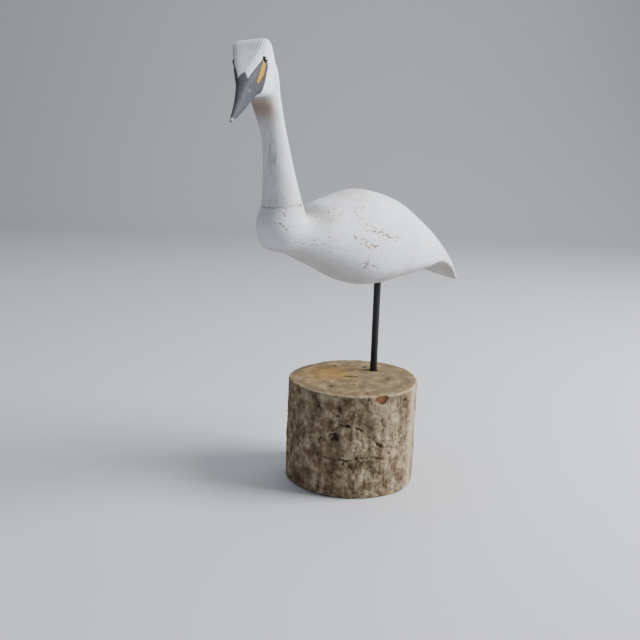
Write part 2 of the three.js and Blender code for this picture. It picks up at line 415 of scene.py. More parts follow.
@dataclass(frozen=True)
class Limewash:
    """Limewash brushed on carved softwood, sanded back by hand.

    The wash is matt and bluish white, thinner on the grain's ridges, and open pores hold brown dirt. Shade is painted
    in as well: grey and brown under the body, brown below the jaw and grey on the combed crown.
    """

    name: str
    grain: Grain
    white: str = "#e8ecf4"
    cool: str = "#dbe1eb"
    thin: str = "#a8a59c"
    grime: str = "#9b9270"
    shade_brown: str = "#86694f"
    ochre: str = "#a88243"
    umber: str = "#56473a"
    roughness: float = 0.72
    streak_mm: float = 0.9
    cloud_mm: float = 14.0
    pore_mm: float = 1.15
    brush_mm: float = 0.35

    def wash(self, tree: bpy.types.NodeTree) -> tuple[bpy.types.NodeSocket, bpy.types.NodeSocket]:
        """Adds the bare wash.

        Args:
            tree: The material's tree.

        Returns:
            The wash's colour, and its height in mm.
        """
        place = add(tree, "ShaderNodeTexCoord")
        along = add(
            tree,
            "ShaderNodeMapping",
            None,
            {"Vector": place.outputs["Object"], "Scale": self.grain.value},
        )
        streak = add(
            tree,
            "ShaderNodeTexNoise",
            None,
            {"Vector": along.outputs[0], "Scale": per_mm(self.streak_mm), "Detail": 4.0, "Roughness": 0.65},
        )
        cloud = add(
            tree,
            "ShaderNodeTexNoise",
            None,
            {"Vector": place.outputs["Object"], "Scale": per_mm(self.cloud_mm), "Detail": 3.0, "Roughness": 0.6},
        )
        base = add(
            tree,
            "ShaderNodeMix",
            MIX,
            {FACTOR: cloud.outputs[0], COLOUR_A: srgb(self.white), COLOUR_B: srgb(self.cool)},
        )
        thinner = add(
            tree,
            "ShaderNodeMapRange",
            None,
            {"Value": streak.outputs[0], "From Min": 0.52, "From Max": 0.78, "To Min": 0.0, "To Max": 0.85},
        )
        grained = add(
            tree,
            "ShaderNodeMix",
            MIX,
            {FACTOR: thinner.outputs[0], COLOUR_A: base.outputs[MIXED], COLOUR_B: srgb(self.thin)},
        )
        # The grime mask holds real dirt plus painted shade under the body, round the rod's hole and on the combed
        # crown.
        grime_and_shade_mask = add(tree, "ShaderNodeAttribute", {"attribute_name": Mask.GRIME_AND_SHADE.value})
        patchy = add(
            tree,
            "ShaderNodeMath",
            {"operation": "MULTIPLY", "use_clamp": True},
            {0: grime_and_shade_mask.outputs["Fac"], 1: streak.outputs[0]},
        )
        dirty = add(
            tree,
            "ShaderNodeMix",
            MIX,
            {FACTOR: patchy.outputs[0], COLOUR_A: grained.outputs[MIXED], COLOUR_B: srgb(self.grime)},
        )
        # The warm mask paints a brown shade under the body and below the jaw.
        warm_mask = add(tree, "ShaderNodeAttribute", {"attribute_name": Mask.WARM_TINT_AND_SHADE.value})
        shade_tinted = add(
            tree,
            "ShaderNodeMix",
            MIX,
            {
                FACTOR: warm_mask.outputs["Fac"],
                COLOUR_A: dirty.outputs[MIXED],
                COLOUR_B: srgb(self.shade_brown),
            },
        )
        flecks = add(
            tree,
            "ShaderNodeTexNoise",
            None,
            {"Vector": along.outputs[0], "Scale": per_mm(self.pore_mm), "Detail": 1.0, "Roughness": 0.4},
        )
        pore_mask = add(tree, "ShaderNodeAttribute", {"attribute_name": Mask.PORES.value})
        near = add(
            tree,
            "ShaderNodeMath",
            {"operation": "MULTIPLY_ADD"},
            {0: pore_mask.outputs["Fac"], 1: 0.24, 2: flecks.outputs[0]},
        )
        pore = add(
            tree,
            "ShaderNodeMapRange",
            None,
            {"Value": near.outputs[0], "From Min": 0.79, "From Max": 0.86, "To Min": 0.0, "To Max": 1.0},
        )
        fleck_mask = add(tree, "ShaderNodeAttribute", {"attribute_name": Mask.FLECK.value})
        ragged = add(
            tree,
            "ShaderNodeMath",
            {"operation": "MULTIPLY_ADD"},
            {0: streak.outputs[0], 1: 0.7, 2: fleck_mask.outputs["Fac"]},
        )
        fleck = add(
            tree,
            "ShaderNodeMapRange",
            None,
            {"Value": ragged.outputs[0], "From Min": 0.64, "From Max": 1.05, "To Min": 0.0, "To Max": 0.95},
        )
        open_pore = add(
            tree,
            "ShaderNodeMath",
            {"operation": "MAXIMUM"},
            {0: pore.outputs[0], 1: fleck.outputs[0]},
        )
        stain = add(
            tree,
            "ShaderNodeMix",
            MIX,
            {FACTOR: cloud.outputs[0], COLOUR_A: srgb(self.ochre), COLOUR_B: srgb(self.umber)},
        )
        colour = add(
            tree,
            "ShaderNodeMix",
            MIX,
            {FACTOR: open_pore.outputs[0], COLOUR_A: shade_tinted.outputs[MIXED], COLOUR_B: stain.outputs[MIXED]},
        )
        brush = add(
            tree,
            "ShaderNodeTexNoise",
            None,
            {"Vector": along.outputs[0], "Scale": per_mm(self.brush_mm), "Detail": 2.0, "Roughness": 0.5},
        )
        ridges = add(
            tree,
            "ShaderNodeMath",
            {"operation": "ADD"},
            {0: streak.outputs[0], 1: brush.outputs[0]},
        )
        height = add(
            tree,
            "ShaderNodeMath",
            {"operation": "SUBTRACT"},
            {0: ridges.outputs[0], 1: open_pore.outputs[0]},
        )
        return colour.outputs[MIXED], height.outputs[0]

    def close(
        self,
        tree: bpy.types.NodeTree,
        colour: bpy.types.NodeSocket,
        height: bpy.types.NodeSocket,
        roughness: Any,
        depth_mm: float = 0.16,
    ) -> None:
        """Adds the shader and the output.

        Args:
            tree: The material's tree.
            colour: The surface's colour.
            height: The relief, where 1 stands for depth_mm.
            roughness: A number, or an output.
            depth_mm: The relief's depth.
        """
        bump = add(
            tree,
            "ShaderNodeBump",
            None,
            {"Height": height, "Distance": depth_mm * MM, "Strength": 0.8},
        )
        shader = add(
            tree,
            "ShaderNodeBsdfPrincipled",
            None,
            {"Base Color": colour, "Roughness": roughness, "Normal": bump.outputs[0], "Specular IOR Level": 0.35},
        )
        add(tree, "ShaderNodeOutputMaterial", None, {"Surface": shader.outputs[0]})

    def material(self) -> bpy.types.Material:
        """The plain limewash."""
        material, tree = new_material(self.name)
        colour, height = self.wash(tree)
        self.close(tree, colour, height, self.roughness)
        return material


@dataclass(frozen=True)
class HeadPaint(Limewash):
    """The same limewash with artist's oil paint over it on the bill and the face.

    The paint is thin and matt: slate grey on the bill, cadmium yellow on the lore, and a near-black line.
    """

    slate: str = "#383b42"
    slate_pale: str = "#42464e"
    slate_dark: str = "#303338"
    yellow: str = "#b0800a"
    yellow_worn: str = "#9d7717"
    line: str = "#1b1a20"
    # Painted shade: the combed crown is greyed and its grooves darkened as if in shadow.
    comb: str = "#8f9480"
    ring: str = "#a3875a"
    worn: str = "#c9ccca"
    mottle_mm: float = 4.0

    def material(self) -> bpy.types.Material:
        """The limewash with the head's paint."""
        material, tree = new_material(self.name)
        colour, height = self.wash(tree)
        place = add(tree, "ShaderNodeTexCoord")
        mottle = add(
            tree,
            "ShaderNodeTexNoise",
            None,
            {"Vector": place.outputs["Object"], "Scale": per_mm(self.mottle_mm), "Detail": 3.0, "Roughness": 0.6},
        )
        slate = add(
            tree,
            "ShaderNodeValToRGB",
            {"stops": [(0.3, srgb(self.slate_dark)), (0.48, srgb(self.slate)), (0.75, srgb(self.slate_pale))]},
            {0: mottle.outputs[0]},
        )
        yellow = add(
            tree,
            "ShaderNodeMix",
            MIX,
            {FACTOR: mottle.outputs[0], COLOUR_A: srgb(self.yellow), COLOUR_B: srgb(self.yellow_worn)},
        )
        layers = (
            (Mask.COMB, srgb(self.comb), 0.6),
            (Mask.RING, srgb(self.ring), 0.8),
            (Mask.BILL, slate.outputs[0], 1.0),
            (Mask.LINE, srgb(self.line), 0.92),
            (Mask.LORE, yellow.outputs[MIXED], 1.0),
            (Mask.WORN, srgb(self.worn), 0.75),
        )
        for mask, paint, cover in layers:
            area = add(tree, "ShaderNodeAttribute", {"attribute_name": mask.value})
            share = add(
                tree,
                "ShaderNodeMath",
                {"operation": "MULTIPLY"},
                {0: area.outputs["Fac"], 1: cover},
            )
            layer = add(
                tree,
                "ShaderNodeMix",
                MIX,
                {FACTOR: share.outputs[0], COLOUR_A: colour, COLOUR_B: paint},
            )
            colour = layer.outputs[MIXED]
        bill = add(tree, "ShaderNodeAttribute", {"attribute_name": Mask.BILL.value})
        roughness = add(
            tree,
            "ShaderNodeMapRange",
            None,
            {"Value": bill.outputs["Fac"], "To Min": self.roughness, "To Max": 0.62},
        )
        self.close(tree, colour, height, roughness.outputs[0])
        return material


@dataclass(frozen=True)
class DebarkedWood:
    """Log with its bark off, dried and greyed outdoors.

    The old cambium side is dull grey-brown and rubbed pale on its ridges; shade is painted into its creases, and a
    painted highlight lies in a strip and a patch on the side towards the key light.
    """

    name: str = "debarked_log_side"
    grey: str = "#87755d"
    brown: str = "#624e3a"
    pale: str = "#b5a58b"
    # Colour of the painted shade in the side's creases.
    crease: str = "#271d15"
    fresh: str = "#916743"
    patch_mm: float = 8.5
    fibre_mm: float = 1.2

    def material(self) -> bpy.types.Material:
        """The log's side."""
        material, tree = new_material(self.name)
        place = add(tree, "ShaderNodeTexCoord")
        along = add(
            tree,
            "ShaderNodeMapping",
            None,
            {"Vector": place.outputs["Object"], "Scale": (1.0, 1.0, 0.3)},
        )
        patch = add(
            tree,
            "ShaderNodeTexNoise",
            None,
            {"Vector": place.outputs["Object"], "Scale": per_mm(self.patch_mm), "Detail": 4.0, "Roughness": 0.65},
        )
        fibre = add(
            tree,
            "ShaderNodeTexNoise",
            None,
            {"Vector": along.outputs[0], "Scale": per_mm(self.fibre_mm), "Detail": 3.0, "Roughness": 0.7},
        )
        base = add(
            tree,
            "ShaderNodeValToRGB",
            {"stops": [(0.36, srgb(self.brown)), (0.5, srgb(self.grey)), (0.66, srgb(self.pale))]},
            {0: patch.outputs[0]},
        )
        # Pale wear on ridges, the rim and the scar, plus a painted highlight in a strip and a patch on the lit side.
        pale_and_highlight_mask = add(tree, "ShaderNodeAttribute", {"attribute_name": Mask.PALE_WEAR_AND_HIGHLIGHT.value})
        lighter = add(
            tree,
            "ShaderNodeMix",
            MIX,
            {FACTOR: pale_and_highlight_mask.outputs["Fac"], COLOUR_A: base.outputs[0], COLOUR_B: srgb(self.pale)},
        )
        streaks = add(
            tree,
            "ShaderNodeMapRange",
            None,
            {"Value": fibre.outputs[0], "From Min": 0.32, "From Max": 0.68, "To Min": 0.62, "To Max": 1.25},
        )
        fibred = add(
            tree,
            "ShaderNodeMix",
            MULTIPLY,
            {FACTOR: 1.0, COLOUR_A: lighter.outputs[MIXED], COLOUR_B: streaks.outputs[0]},
        )
        # Painted shade in the side's creases.
        cavity = add(tree, "ShaderNodeAttribute", {"attribute_name": Mask.HOLLOW_SHADE_AND_STAIN.value})
        creased = add(
            tree,
            "ShaderNodeMix",
            MIX,
            {FACTOR: cavity.outputs["Fac"], COLOUR_A: fibred.outputs[MIXED], COLOUR_B: srgb(self.crease)},
        )
        chip = add(tree, "ShaderNodeAttribute", {"attribute_name": Mask.CHIP.value})
        split = add(
            tree,
            "ShaderNodeMix",
            MULTIPLY,
            {FACTOR: 0.8, COLOUR_A: srgb(self.fresh), COLOUR_B: streaks.outputs[0]},
        )
        colour = add(
            tree,
            "ShaderNodeMix",
            MIX,
            {FACTOR: chip.outputs["Fac"], COLOUR_A: creased.outputs[MIXED], COLOUR_B: split.outputs[MIXED]},
        )
        bump = add(
            tree,
            "ShaderNodeBump",
            None,
            {"Height": fibre.outputs[0], "Distance": 0.9 * MM, "Strength": 1.0},
        )
        shader = add(
            tree,
            "ShaderNodeBsdfPrincipled",
            None,
            {"Base Color": colour.outputs[MIXED], "Roughness": 0.88, "Normal": bump.outputs[0], "Specular IOR Level": 0.25},
        )
        add(tree, "ShaderNodeOutputMaterial", None, {"Surface": shader.outputs[0]})
        return material


@dataclass(frozen=True)
class EndGrain:
    """Sawn end of the log: dry, grey-tan, with faint growth rings round the pith and saw fuzz."""

    pith_mm: tuple[float, float, float]
    name: str = "sawn_end_grain"
    tan: str = "#7f6c50"
    grey: str = "#6f6250"
    pale: str = "#9c8969"
    # Colour of the painted shade in the top's holes, cracks and rod seat, and of the stain round the holes.
    honey: str = "#9d7836"
    crease: str = "#1c130b"
    ring_mm: float = 2.6
    fuzz_mm: float = 0.7
    patch_mm: float = 9.0

    def material(self) -> bpy.types.Material:
        """The log's top."""
        material, tree = new_material(self.name)
        place = add(tree, "ShaderNodeTexCoord")
        pith = tuple(value * MM for value in self.pith_mm)
        centred = add(
            tree,
            "ShaderNodeVectorMath",
            {"operation": "SUBTRACT"},
            {0: place.outputs["Object"], 1: pith},
        )
        patch = add(
            tree,
            "ShaderNodeTexNoise",
            None,
            {"Vector": place.outputs["Object"], "Scale": per_mm(self.patch_mm), "Detail": 4.0, "Roughness": 0.65},
        )
        fuzz = add(
            tree,
            "ShaderNodeTexNoise",
            None,
            {"Vector": place.outputs["Object"], "Scale": per_mm(self.fuzz_mm), "Detail": 3.0, "Roughness": 0.7},
        )
        rings = add(
            tree,
            "ShaderNodeTexWave",
            {"wave_type": "RINGS", "rings_direction": "Z"},
            {
                "Vector": centred.outputs[0],
                "Scale": per_mm(self.ring_mm) / 20,
                "Distortion": 1.6,
                "Detail": 2.0,
                "Detail Scale": 0.6,
            },
        )
        base = add(
            tree,
            "ShaderNodeValToRGB",
            {"stops": [(0.36, srgb(self.grey)), (0.5, srgb(self.tan)), (0.66, srgb(self.pale))]},
            {0: patch.outputs[0]},
        )
        warm_mask = add(tree, "ShaderNodeAttribute", {"attribute_name": Mask.WARM_TINT_AND_SHADE.value})
        specks = add(
            tree,
            "ShaderNodeMapRange",
            None,
            {"Value": fuzz.outputs[0], "From Min": 0.4, "From Max": 0.6, "To Min": 0.25, "To Max": 1.0},
        )
        warm_share = add(
            tree,
            "ShaderNodeMath",
            {"operation": "MULTIPLY"},
            {0: warm_mask.outputs["Fac"], 1: specks.outputs[0]},
        )
        warmer = add(
            tree,
            "ShaderNodeMix",
            MIX,
            {FACTOR: warm_share.outputs[0], COLOUR_A: base.outputs[0], COLOUR_B: srgb(self.honey)},
        )
        shade = add(
            tree,
            "ShaderNodeMapRange",
            None,
            {"Value": rings.outputs[1], "To Min": 0.84, "To Max": 1.08},
        )
        ringed = add(
            tree,
            "ShaderNodeMix",
            MULTIPLY,
            {FACTOR: 1.0, COLOUR_A: warmer.outputs[MIXED], COLOUR_B: shade.outputs[0]},
        )
        speck = add(
            tree,
            "ShaderNodeMapRange",
            None,
            {"Value": fuzz.outputs[0], "From Min": 0.32, "From Max": 0.68, "To Min": 0.66, "To Max": 1.24},
        )
        specked = add(
            tree,
            "ShaderNodeMix",
            MULTIPLY,
            {FACTOR: 1.0, COLOUR_A: ringed.outputs[MIXED], COLOUR_B: speck.outputs[0]},
        )
        # Painted shade in holes, cracks and the rod's seat, with the stain round the holes.
        cavity = add(tree, "ShaderNodeAttribute", {"attribute_name": Mask.HOLLOW_SHADE_AND_STAIN.value})
        colour = add(
            tree,
            "ShaderNodeMix",
            MIX,
            {FACTOR: cavity.outputs["Fac"], COLOUR_A: specked.outputs[MIXED], COLOUR_B: srgb(self.crease)},
        )
        relief = add(
            tree,
            "ShaderNodeMath",
            {"operation": "MULTIPLY_ADD"},
            {0: rings.outputs[1], 1: 0.4, 2: fuzz.outputs[0]},
        )
        bump = add(
            tree,
            "ShaderNodeBump",
            None,
            {"Height": relief.outputs[0], "Distance": 0.45 * MM, "Strength": 0.8},
        )
        shader = add(
            tree,
            "ShaderNodeBsdfPrincipled",
            None,
            {"Base Color": colour.outputs[MIXED], "Roughness": 0.9, "Normal": bump.outputs[0], "Specular IOR Level": 0.2},
        )
        add(tree, "ShaderNodeOutputMaterial", None, {"Surface": shader.outputs[0]})
        return material


@dataclass(frozen=True)
class BlackSteel:
    """Drawn steel rod under thin brushed black enamel: a soft sheen, with small bumps in the paint."""

    name: str = "black_enamelled_steel"
    black: str = "#101116"
    rubbed: str = "#25262c"
    roughness: float = 0.5
    skin_mm: float = 1.3

    def material(self) -> bpy.types.Material:
        """The rod's paint."""
        material, tree = new_material(self.name)
        place = add(tree, "ShaderNodeTexCoord")
        along = add(
            tree,
            "ShaderNodeMapping",
            None,
            {"Vector": place.outputs["Object"], "Scale": (1.0, 1.0, 0.25)},
        )
        skin_noise = add(
            tree,
            "ShaderNodeTexNoise",
            None,
            {"Vector": along.outputs[0], "Scale": per_mm(self.skin_mm), "Detail": 3.0, "Roughness": 0.6},
        )
        rub = add(
            tree,
            "ShaderNodeMapRange",
            None,
            {"Value": skin_noise.outputs[0], "From Min": 0.55, "From Max": 0.75, "To Min": 0.0, "To Max": 0.6},
        )
        colour = add(
            tree,
            "ShaderNodeMix",
            MIX,
            {FACTOR: rub.outputs[0], COLOUR_A: srgb(self.black), COLOUR_B: srgb(self.rubbed)},
        )
        rough = add(
            tree,
            "ShaderNodeMapRange",
            None,
            {"Value": skin_noise.outputs[0], "To Min": self.roughness - 0.1, "To Max": self.roughness + 0.15},
        )
        bump = add(
            tree,
            "ShaderNodeBump",
            None,
            {"Height": skin_noise.outputs[0], "Distance": 0.12 * MM, "Strength": 0.6},
        )
        shader = add(
            tree,
            "ShaderNodeBsdfPrincipled",
            None,
            {"Base Color": colour.outputs[MIXED], "Roughness": rough.outputs[0], "Normal": bump.outputs[0], "IOR": 1.5},
        )
        add(tree, "ShaderNodeOutputMaterial", None, {"Surface": shader.outputs[0]})
        return material


@dataclass(frozen=True)
class DarkGlass:
    """Moulded glass eye, black at the pupil with a deep brown edge, under a polished face."""

    name: str = "dark_glass_eye"
    pupil: str = "#07070a"
    iris: str = "#1c120c"
    roughness: float = 0.06
    cloud_mm: float = 2.0

    def material(self) -> bpy.types.Material:
        """The eye's glass."""
        material, tree = new_material(self.name)
        place = add(tree, "ShaderNodeTexCoord")
        cloud = add(
            tree,
            "ShaderNodeTexNoise",
            None,
            {"Vector": place.outputs["Object"], "Scale": per_mm(self.cloud_mm), "Detail": 1.0},
        )
        colour = add(
            tree,
            "ShaderNodeMix",
            MIX,
            {FACTOR: cloud.outputs[0], COLOUR_A: srgb(self.pupil), COLOUR_B: srgb(self.iris)},
        )
        shader = add(
            tree,
            "ShaderNodeBsdfPrincipled",
            None,
            {"Base Color": colour.outputs[MIXED], "Roughness": self.roughness, "IOR": 1.52, "Coat Weight": 0.5},
        )
        add(tree, "ShaderNodeOutputMaterial", None, {"Surface": shader.outputs[0]})
        return material


@dataclass(frozen=True)
class PalePaper:
    """Matt seamless studio paper, a plain pale grey."""

    name: str = "pale_paper"
    colour: str = "#c3c5c8"

    def material(self) -> bpy.types.Material:
        """The floor's paper."""
        material, tree = new_material(self.name)
        shader = add(
            tree,
            "ShaderNodeBsdfPrincipled",
            None,
            {"Base Color": srgb(self.colour), "Roughness": 0.95},
        )
        add(tree, "ShaderNodeOutputMaterial", None, {"Surface": shader.outputs[0]})
        return material


# The bird


@dataclass(frozen=True)
class Cut:
    """One cut through the body, from its back to its keel in the side view."""

    back: tuple[float, float]
    keel: tuple[float, float]
    half: float
    widest: float
    round: tuple[float, float]


@dataclass(frozen=True)
class Cluster:
    """A patch of open pores on the body's side: its middle, its half sizes, its slope and how dense it is."""

    x: float
    z: float
    length: float
    height: float
    slope: float
    dense: float


@dataclass(frozen=True)
class FleckRow:
    """Dirty open pores strewn along a line on the body's side, between two places of x and z."""

    start: tuple[float, float]
    end: tuple[float, float]
    count: int
    spread: float
    length: float
    dark: float


@dataclass
class Body:
    """The carved body: breast, belly, humped back and the drooping, scooped tail."""

    middle_y: float = 5.0
    rings: int = 340
    sides: int = 240
    tail_lip: float = 2.0
    tail_lip_inset: float = 0.3
    tail_lip_way: tuple[float, float] = (0.5, -0.8)
    tail_skew: float = 2.6
    tail_skew_from: float = 0.86
    tail_fall: tuple[float, float] = (0.46, -0.89)
    rod_x: float = 29.5
    rod_radius: float = 3.175
    facet: float = 0.22
    cuts: tuple[Cut, ...] = (
        Cut((-62.6, 248.2), (-95.4, 244.2), 16.2, 0.5, (2, 2)),
        Cut((-58.5, 237.6), (-99.2, 229), 19, 0.5, (2, 2.1)),
        Cut((-56, 236.2), (-91.8, 211.6), 23.5, 0.5, (2, 2.2)),
        Cut((-51, 238.2), (-71.6, 205), 29.5, 0.5, (2, 2.4)),
        Cut((-37, 246.9), (-45.5, 192.9), 35, 0.54, (2, 2.3)),
        Cut((-1, 255.4), (-5, 175.2), 39, 0.56, (2, 2.4)),
        Cut((38, 246.7), (36, 177.3), 36, 0.6, (2, 2.6)),
        Cut((66, 229.9), (62, 182.2), 31, 0.68, (2, 3)),
        Cut((86.5, 213.6), (82, 188.6), 26, 0.8, (2.1, 5)),
        Cut((101.7, 194.3), (97.4, 184.1), 23.6, 0.84, (2.2, 6)),
        Cut((110.4, 178.6), (106.6, 173.6), 22, 0.8, (2.4, 4)),
    )
    clusters: tuple[Cluster, ...] = (
        Cluster(-45, 238, 17, 7, 0.25, 0.75),
        Cluster(-22, 241, 9, 5, 0.1, 0.7),
        Cluster(-3, 223, 24, 4, -0.38, 1.0),
        Cluster(-21, 217, 16, 3.5, -0.42, 0.8),
        Cluster(-36, 211, 8, 3, 0, 0.6),
        Cluster(-18, 197, 15, 4, -0.2, 0.9),
        Cluster(-90, 231, 8, 4, -0.3, 0.7),
        Cluster(-86, 243, 3, 5, 0, 0.7),
        Cluster(-63, 216, 18, 4, -0.1, 0.75),
        Cluster(63, 208, 4, 2, -0.5, 0.7),
    )

    fleck_rows: tuple[FleckRow, ...] = (
        FleckRow((-58, 234), (-33, 243), 11, 2.0, 1.5, 0.8),
        FleckRow((-41, 235), (-35, 231), 4, 1.5, 1.6, 0.7),
        FleckRow((-28, 241), (-15, 244), 5, 0.8, 2.2, 0.9),
        FleckRow((-24, 238), (-13, 225), 9, 1.4, 1.6, 0.95),
        FleckRow((-14, 225), (17, 217), 14, 0.9, 2.0, 1.0),
        FleckRow((-34, 223), (-19, 213), 6, 1.0, 1.6, 0.95),
        FleckRow((-20, 213), (-7, 212), 6, 0.6, 2.4, 1.0),
        FleckRow((-18, 206), (6, 204), 5, 1.6, 1.8, 0.75),
        FleckRow((-77, 216), (-50, 219), 9, 1.6, 1.6, 0.8),
        FleckRow((-59, 215), (-38, 211), 6, 1.2, 1.6, 0.8),
        FleckRow((-30, 194), (-4, 195), 7, 1.6, 1.8, 0.95),
        FleckRow((-25, 200), (-16, 197), 3, 1.0, 1.8, 0.9),
        FleckRow((-95, 235), (-86, 228), 5, 0.9, 1.4, 1.0),
        FleckRow((-86, 246), (-89, 239), 7, 0.9, 1.8, 0.9),
        FleckRow((60, 209), (66, 207), 3, 0.8, 1.4, 0.8),
    )
    fleck_seed: int = 11
    fleck_height: float = 0.55
    fleck_depth: float = 0.3

    def ring_rows(self) -> Array:
        """Rings of the skin, from the seam's middle over the whole body to the tail's end."""
        t = np.linspace(0, 1, self.rings)
        back = through([c.back for c in self.cuts], t)
        keel = through([c.keel for c in self.cuts], t)
        half = through([c.half for c in self.cuts], t)[:, None]
        widest = through([c.widest for c in self.cuts], t)[:, None]
        rounds = through([c.round for c in self.cuts], t)
        angle = np.linspace(0, 2 * math.pi, self.sides, endpoint=False)[None, :]
        up = np.cos(angle)
        power = 2 / np.where(up >= 0, rounds[:, :1], rounds[:, 1:])
        reach = np.abs(up) ** power
        along = np.where(up >= 0, widest * (1 - reach), widest + (1 - widest) * reach)
        side = half * signed_power(np.sin(angle), power)
        skew = self.tail_skew * np.maximum(0, (t - self.tail_skew_from) / (1 - self.tail_skew_from))[:, None]
        slip = -skew * side / half
        x = back[:, :1] + (keel[:, :1] - back[:, :1]) * along + self.tail_fall[0] * slip
        z = back[:, 1:] + (keel[:, 1:] - back[:, 1:]) * along + self.tail_fall[1] * slip
        rows = np.stack([x, self.middle_y + side, z], axis=2)
        stump = rows[0].mean(0)
        seat = [stump + (rows[0] - stump) * share for share in (0.25, 0.6, 0.9, 0.985)]
        end = rows[-1]
        heart = end.mean(0)
        beyond = np.array([self.tail_lip_way[0], 0, self.tail_lip_way[1]]) * self.tail_lip
        lip = [
            end + beyond * math.sin(share * math.pi / 2) + (heart - end) * self.tail_lip_inset * (1 - math.cos(share * math.pi / 2))
            for share in (0.3, 0.6, 0.85, 1.0)
        ]
        closed = [lip[-1] + (heart + beyond - lip[-1]) * share for share in (0.3, 0.7)]
        return np.concatenate([seat, rows, lip, closed])

    def pore_density(self, points: Array) -> Array:
        """How many pores show at each point, full on the left side and plainer on the right."""
        left = points[:, 1] < self.middle_y
        dense = np.full(len(points), 0.06)
        for patch in self.clusters:
            x = points[:, 0] - patch.x - np.where(left, 0, 9)
            z = points[:, 2] - patch.z - patch.slope * x
            share = np.exp(-((x / patch.length) ** 2) - (z / patch.height) ** 2)
            dense = np.maximum(dense, share * patch.dense * np.where(left, 1, 0.55))
        return dense

    def fleck_share(self, points: Array) -> Array:
        """How far each point lies in a dirty pore, with fewer and fainter ones on the right side."""
        draw = np.random.default_rng(self.fleck_seed)
        left = points[:, 1] < self.middle_y
        share = np.zeros(len(points))
        for row in self.fleck_rows:
            for number in range(row.count):
                along = (number + draw.uniform(0.1, 0.9)) / row.count
                x = row.start[0] + (row.end[0] - row.start[0]) * along + draw.normal(0, row.spread)
                z = row.start[1] + (row.end[1] - row.start[1]) * along + draw.normal(0, row.spread)
                length = row.length * draw.uniform(0.55, 1.0)
                height = self.fleck_height * draw.uniform(0.8, 1.5)
                for side, slip, dark in ((left, (0, 0), row.dark), (~left, (8, -3), 0.7 * row.dark * (number % 2))):
                    flat = np.hypot(points[:, 0] - x - slip[0], points[:, 2] - z - slip[1])
                    middle = points[np.argmin(np.where(side, flat, np.inf))]
                    away = points - middle
                    far = (away[:, 0] / length) ** 2 + (away[:, 1] ** 2 + away[:, 2] ** 2) / height**2
                    share = np.maximum(share, np.exp(-far) * dark)
        return share

    def build(self) -> bpy.types.Object:
        """Makes the body's mesh with its facets, its rod hole and its masks."""
        piece = skin("body_carving", self.ring_rows())
        points = places(piece)
        to_rod = np.hypot(points[:, 0] - self.rod_x, points[:, 1] - self.middle_y)
        refine(piece, (to_rod < 7) & (points[:, 2] < 190), 2)
        points = places(piece)
        facets = self.facet * bumps(points, 17, 3) + 0.06 * bumps(points, 6, 5)
        seat = step(points[:, 2] - 248.2 - (points[:, 0] + 62.6) * 0.122, -1.5, -0.4)
        to_rod = np.hypot(points[:, 0] - self.rod_x, points[:, 1] - self.middle_y)
        under = points[:, 2] < 190
        dish = -0.7 * step(to_rod, self.rod_radius + 1.1, self.rod_radius + 0.3) * under
        fleck = self.fleck_share(points) * (1 - seat)
        press(piece, facets * (1 - seat) + dish - self.fleck_depth * fleck)
        facing = normals(piece)
        points = places(piece)
        ridge = step(points[:, 2] - 0.5 * np.abs(points[:, 1] - self.middle_y), 225, 250)
        tail = step(points[:, 0], 70, 108)
        cloud = 0.5 + 0.5 * bumps(points, 13, 8, 2)
        # Surfaces facing down get painted shade: grey through the grime mask and brown through the warm mask.
        below = step(facing[:, 2], -0.35, -0.9)
        grime = 0.9 * ridge * cloud + 0.9 * tail * cloud + 0.3 * below + 0.12
        notch = bell(np.hypot(points[:, 0] + 56, points[:, 2] - 240), 13)
        # Painted shade darkens a ring round the rod's hole.
        hole = under * step(to_rod, self.rod_radius + 1.6, self.rod_radius + 0.4)
        spot = bell(np.linalg.norm(points - [-71.5, -9.5, 246], axis=1), 1.6)
        seam = seat * (1 - step(points[:, 2] - 248.2 - (points[:, 0] + 62.6) * 0.122, -0.4, 0.2))
        mark(piece, Mask.GRIME_AND_SHADE, grime + 0.7 * notch + hole + spot + 0.6 * seam)
        mark(piece, Mask.PORES, self.pore_density(points) + spot)
        mark(piece, Mask.FLECK, fleck + spot)
        # Painted shade: a brown tint on surfaces facing down, where the underside lies in shade.
        mark(piece, Mask.WARM_TINT_AND_SHADE, 0.5 * below * (0.6 + 0.4 * cloud))
        smooth(piece, 40)
        return piece


@dataclass(frozen=True)
class HeadCut:
    """One cut across the head, at a place along its forward line."""

    at: float
    top: float
    under: float
    half: tuple[float, float]
    aside: float
    square: float


@dataclass
class Gaze:
    """Points of the head in its own frame, in mm."""

    forward: Array
    across: Array
    rise: Array
    level: Array
    angle: Array


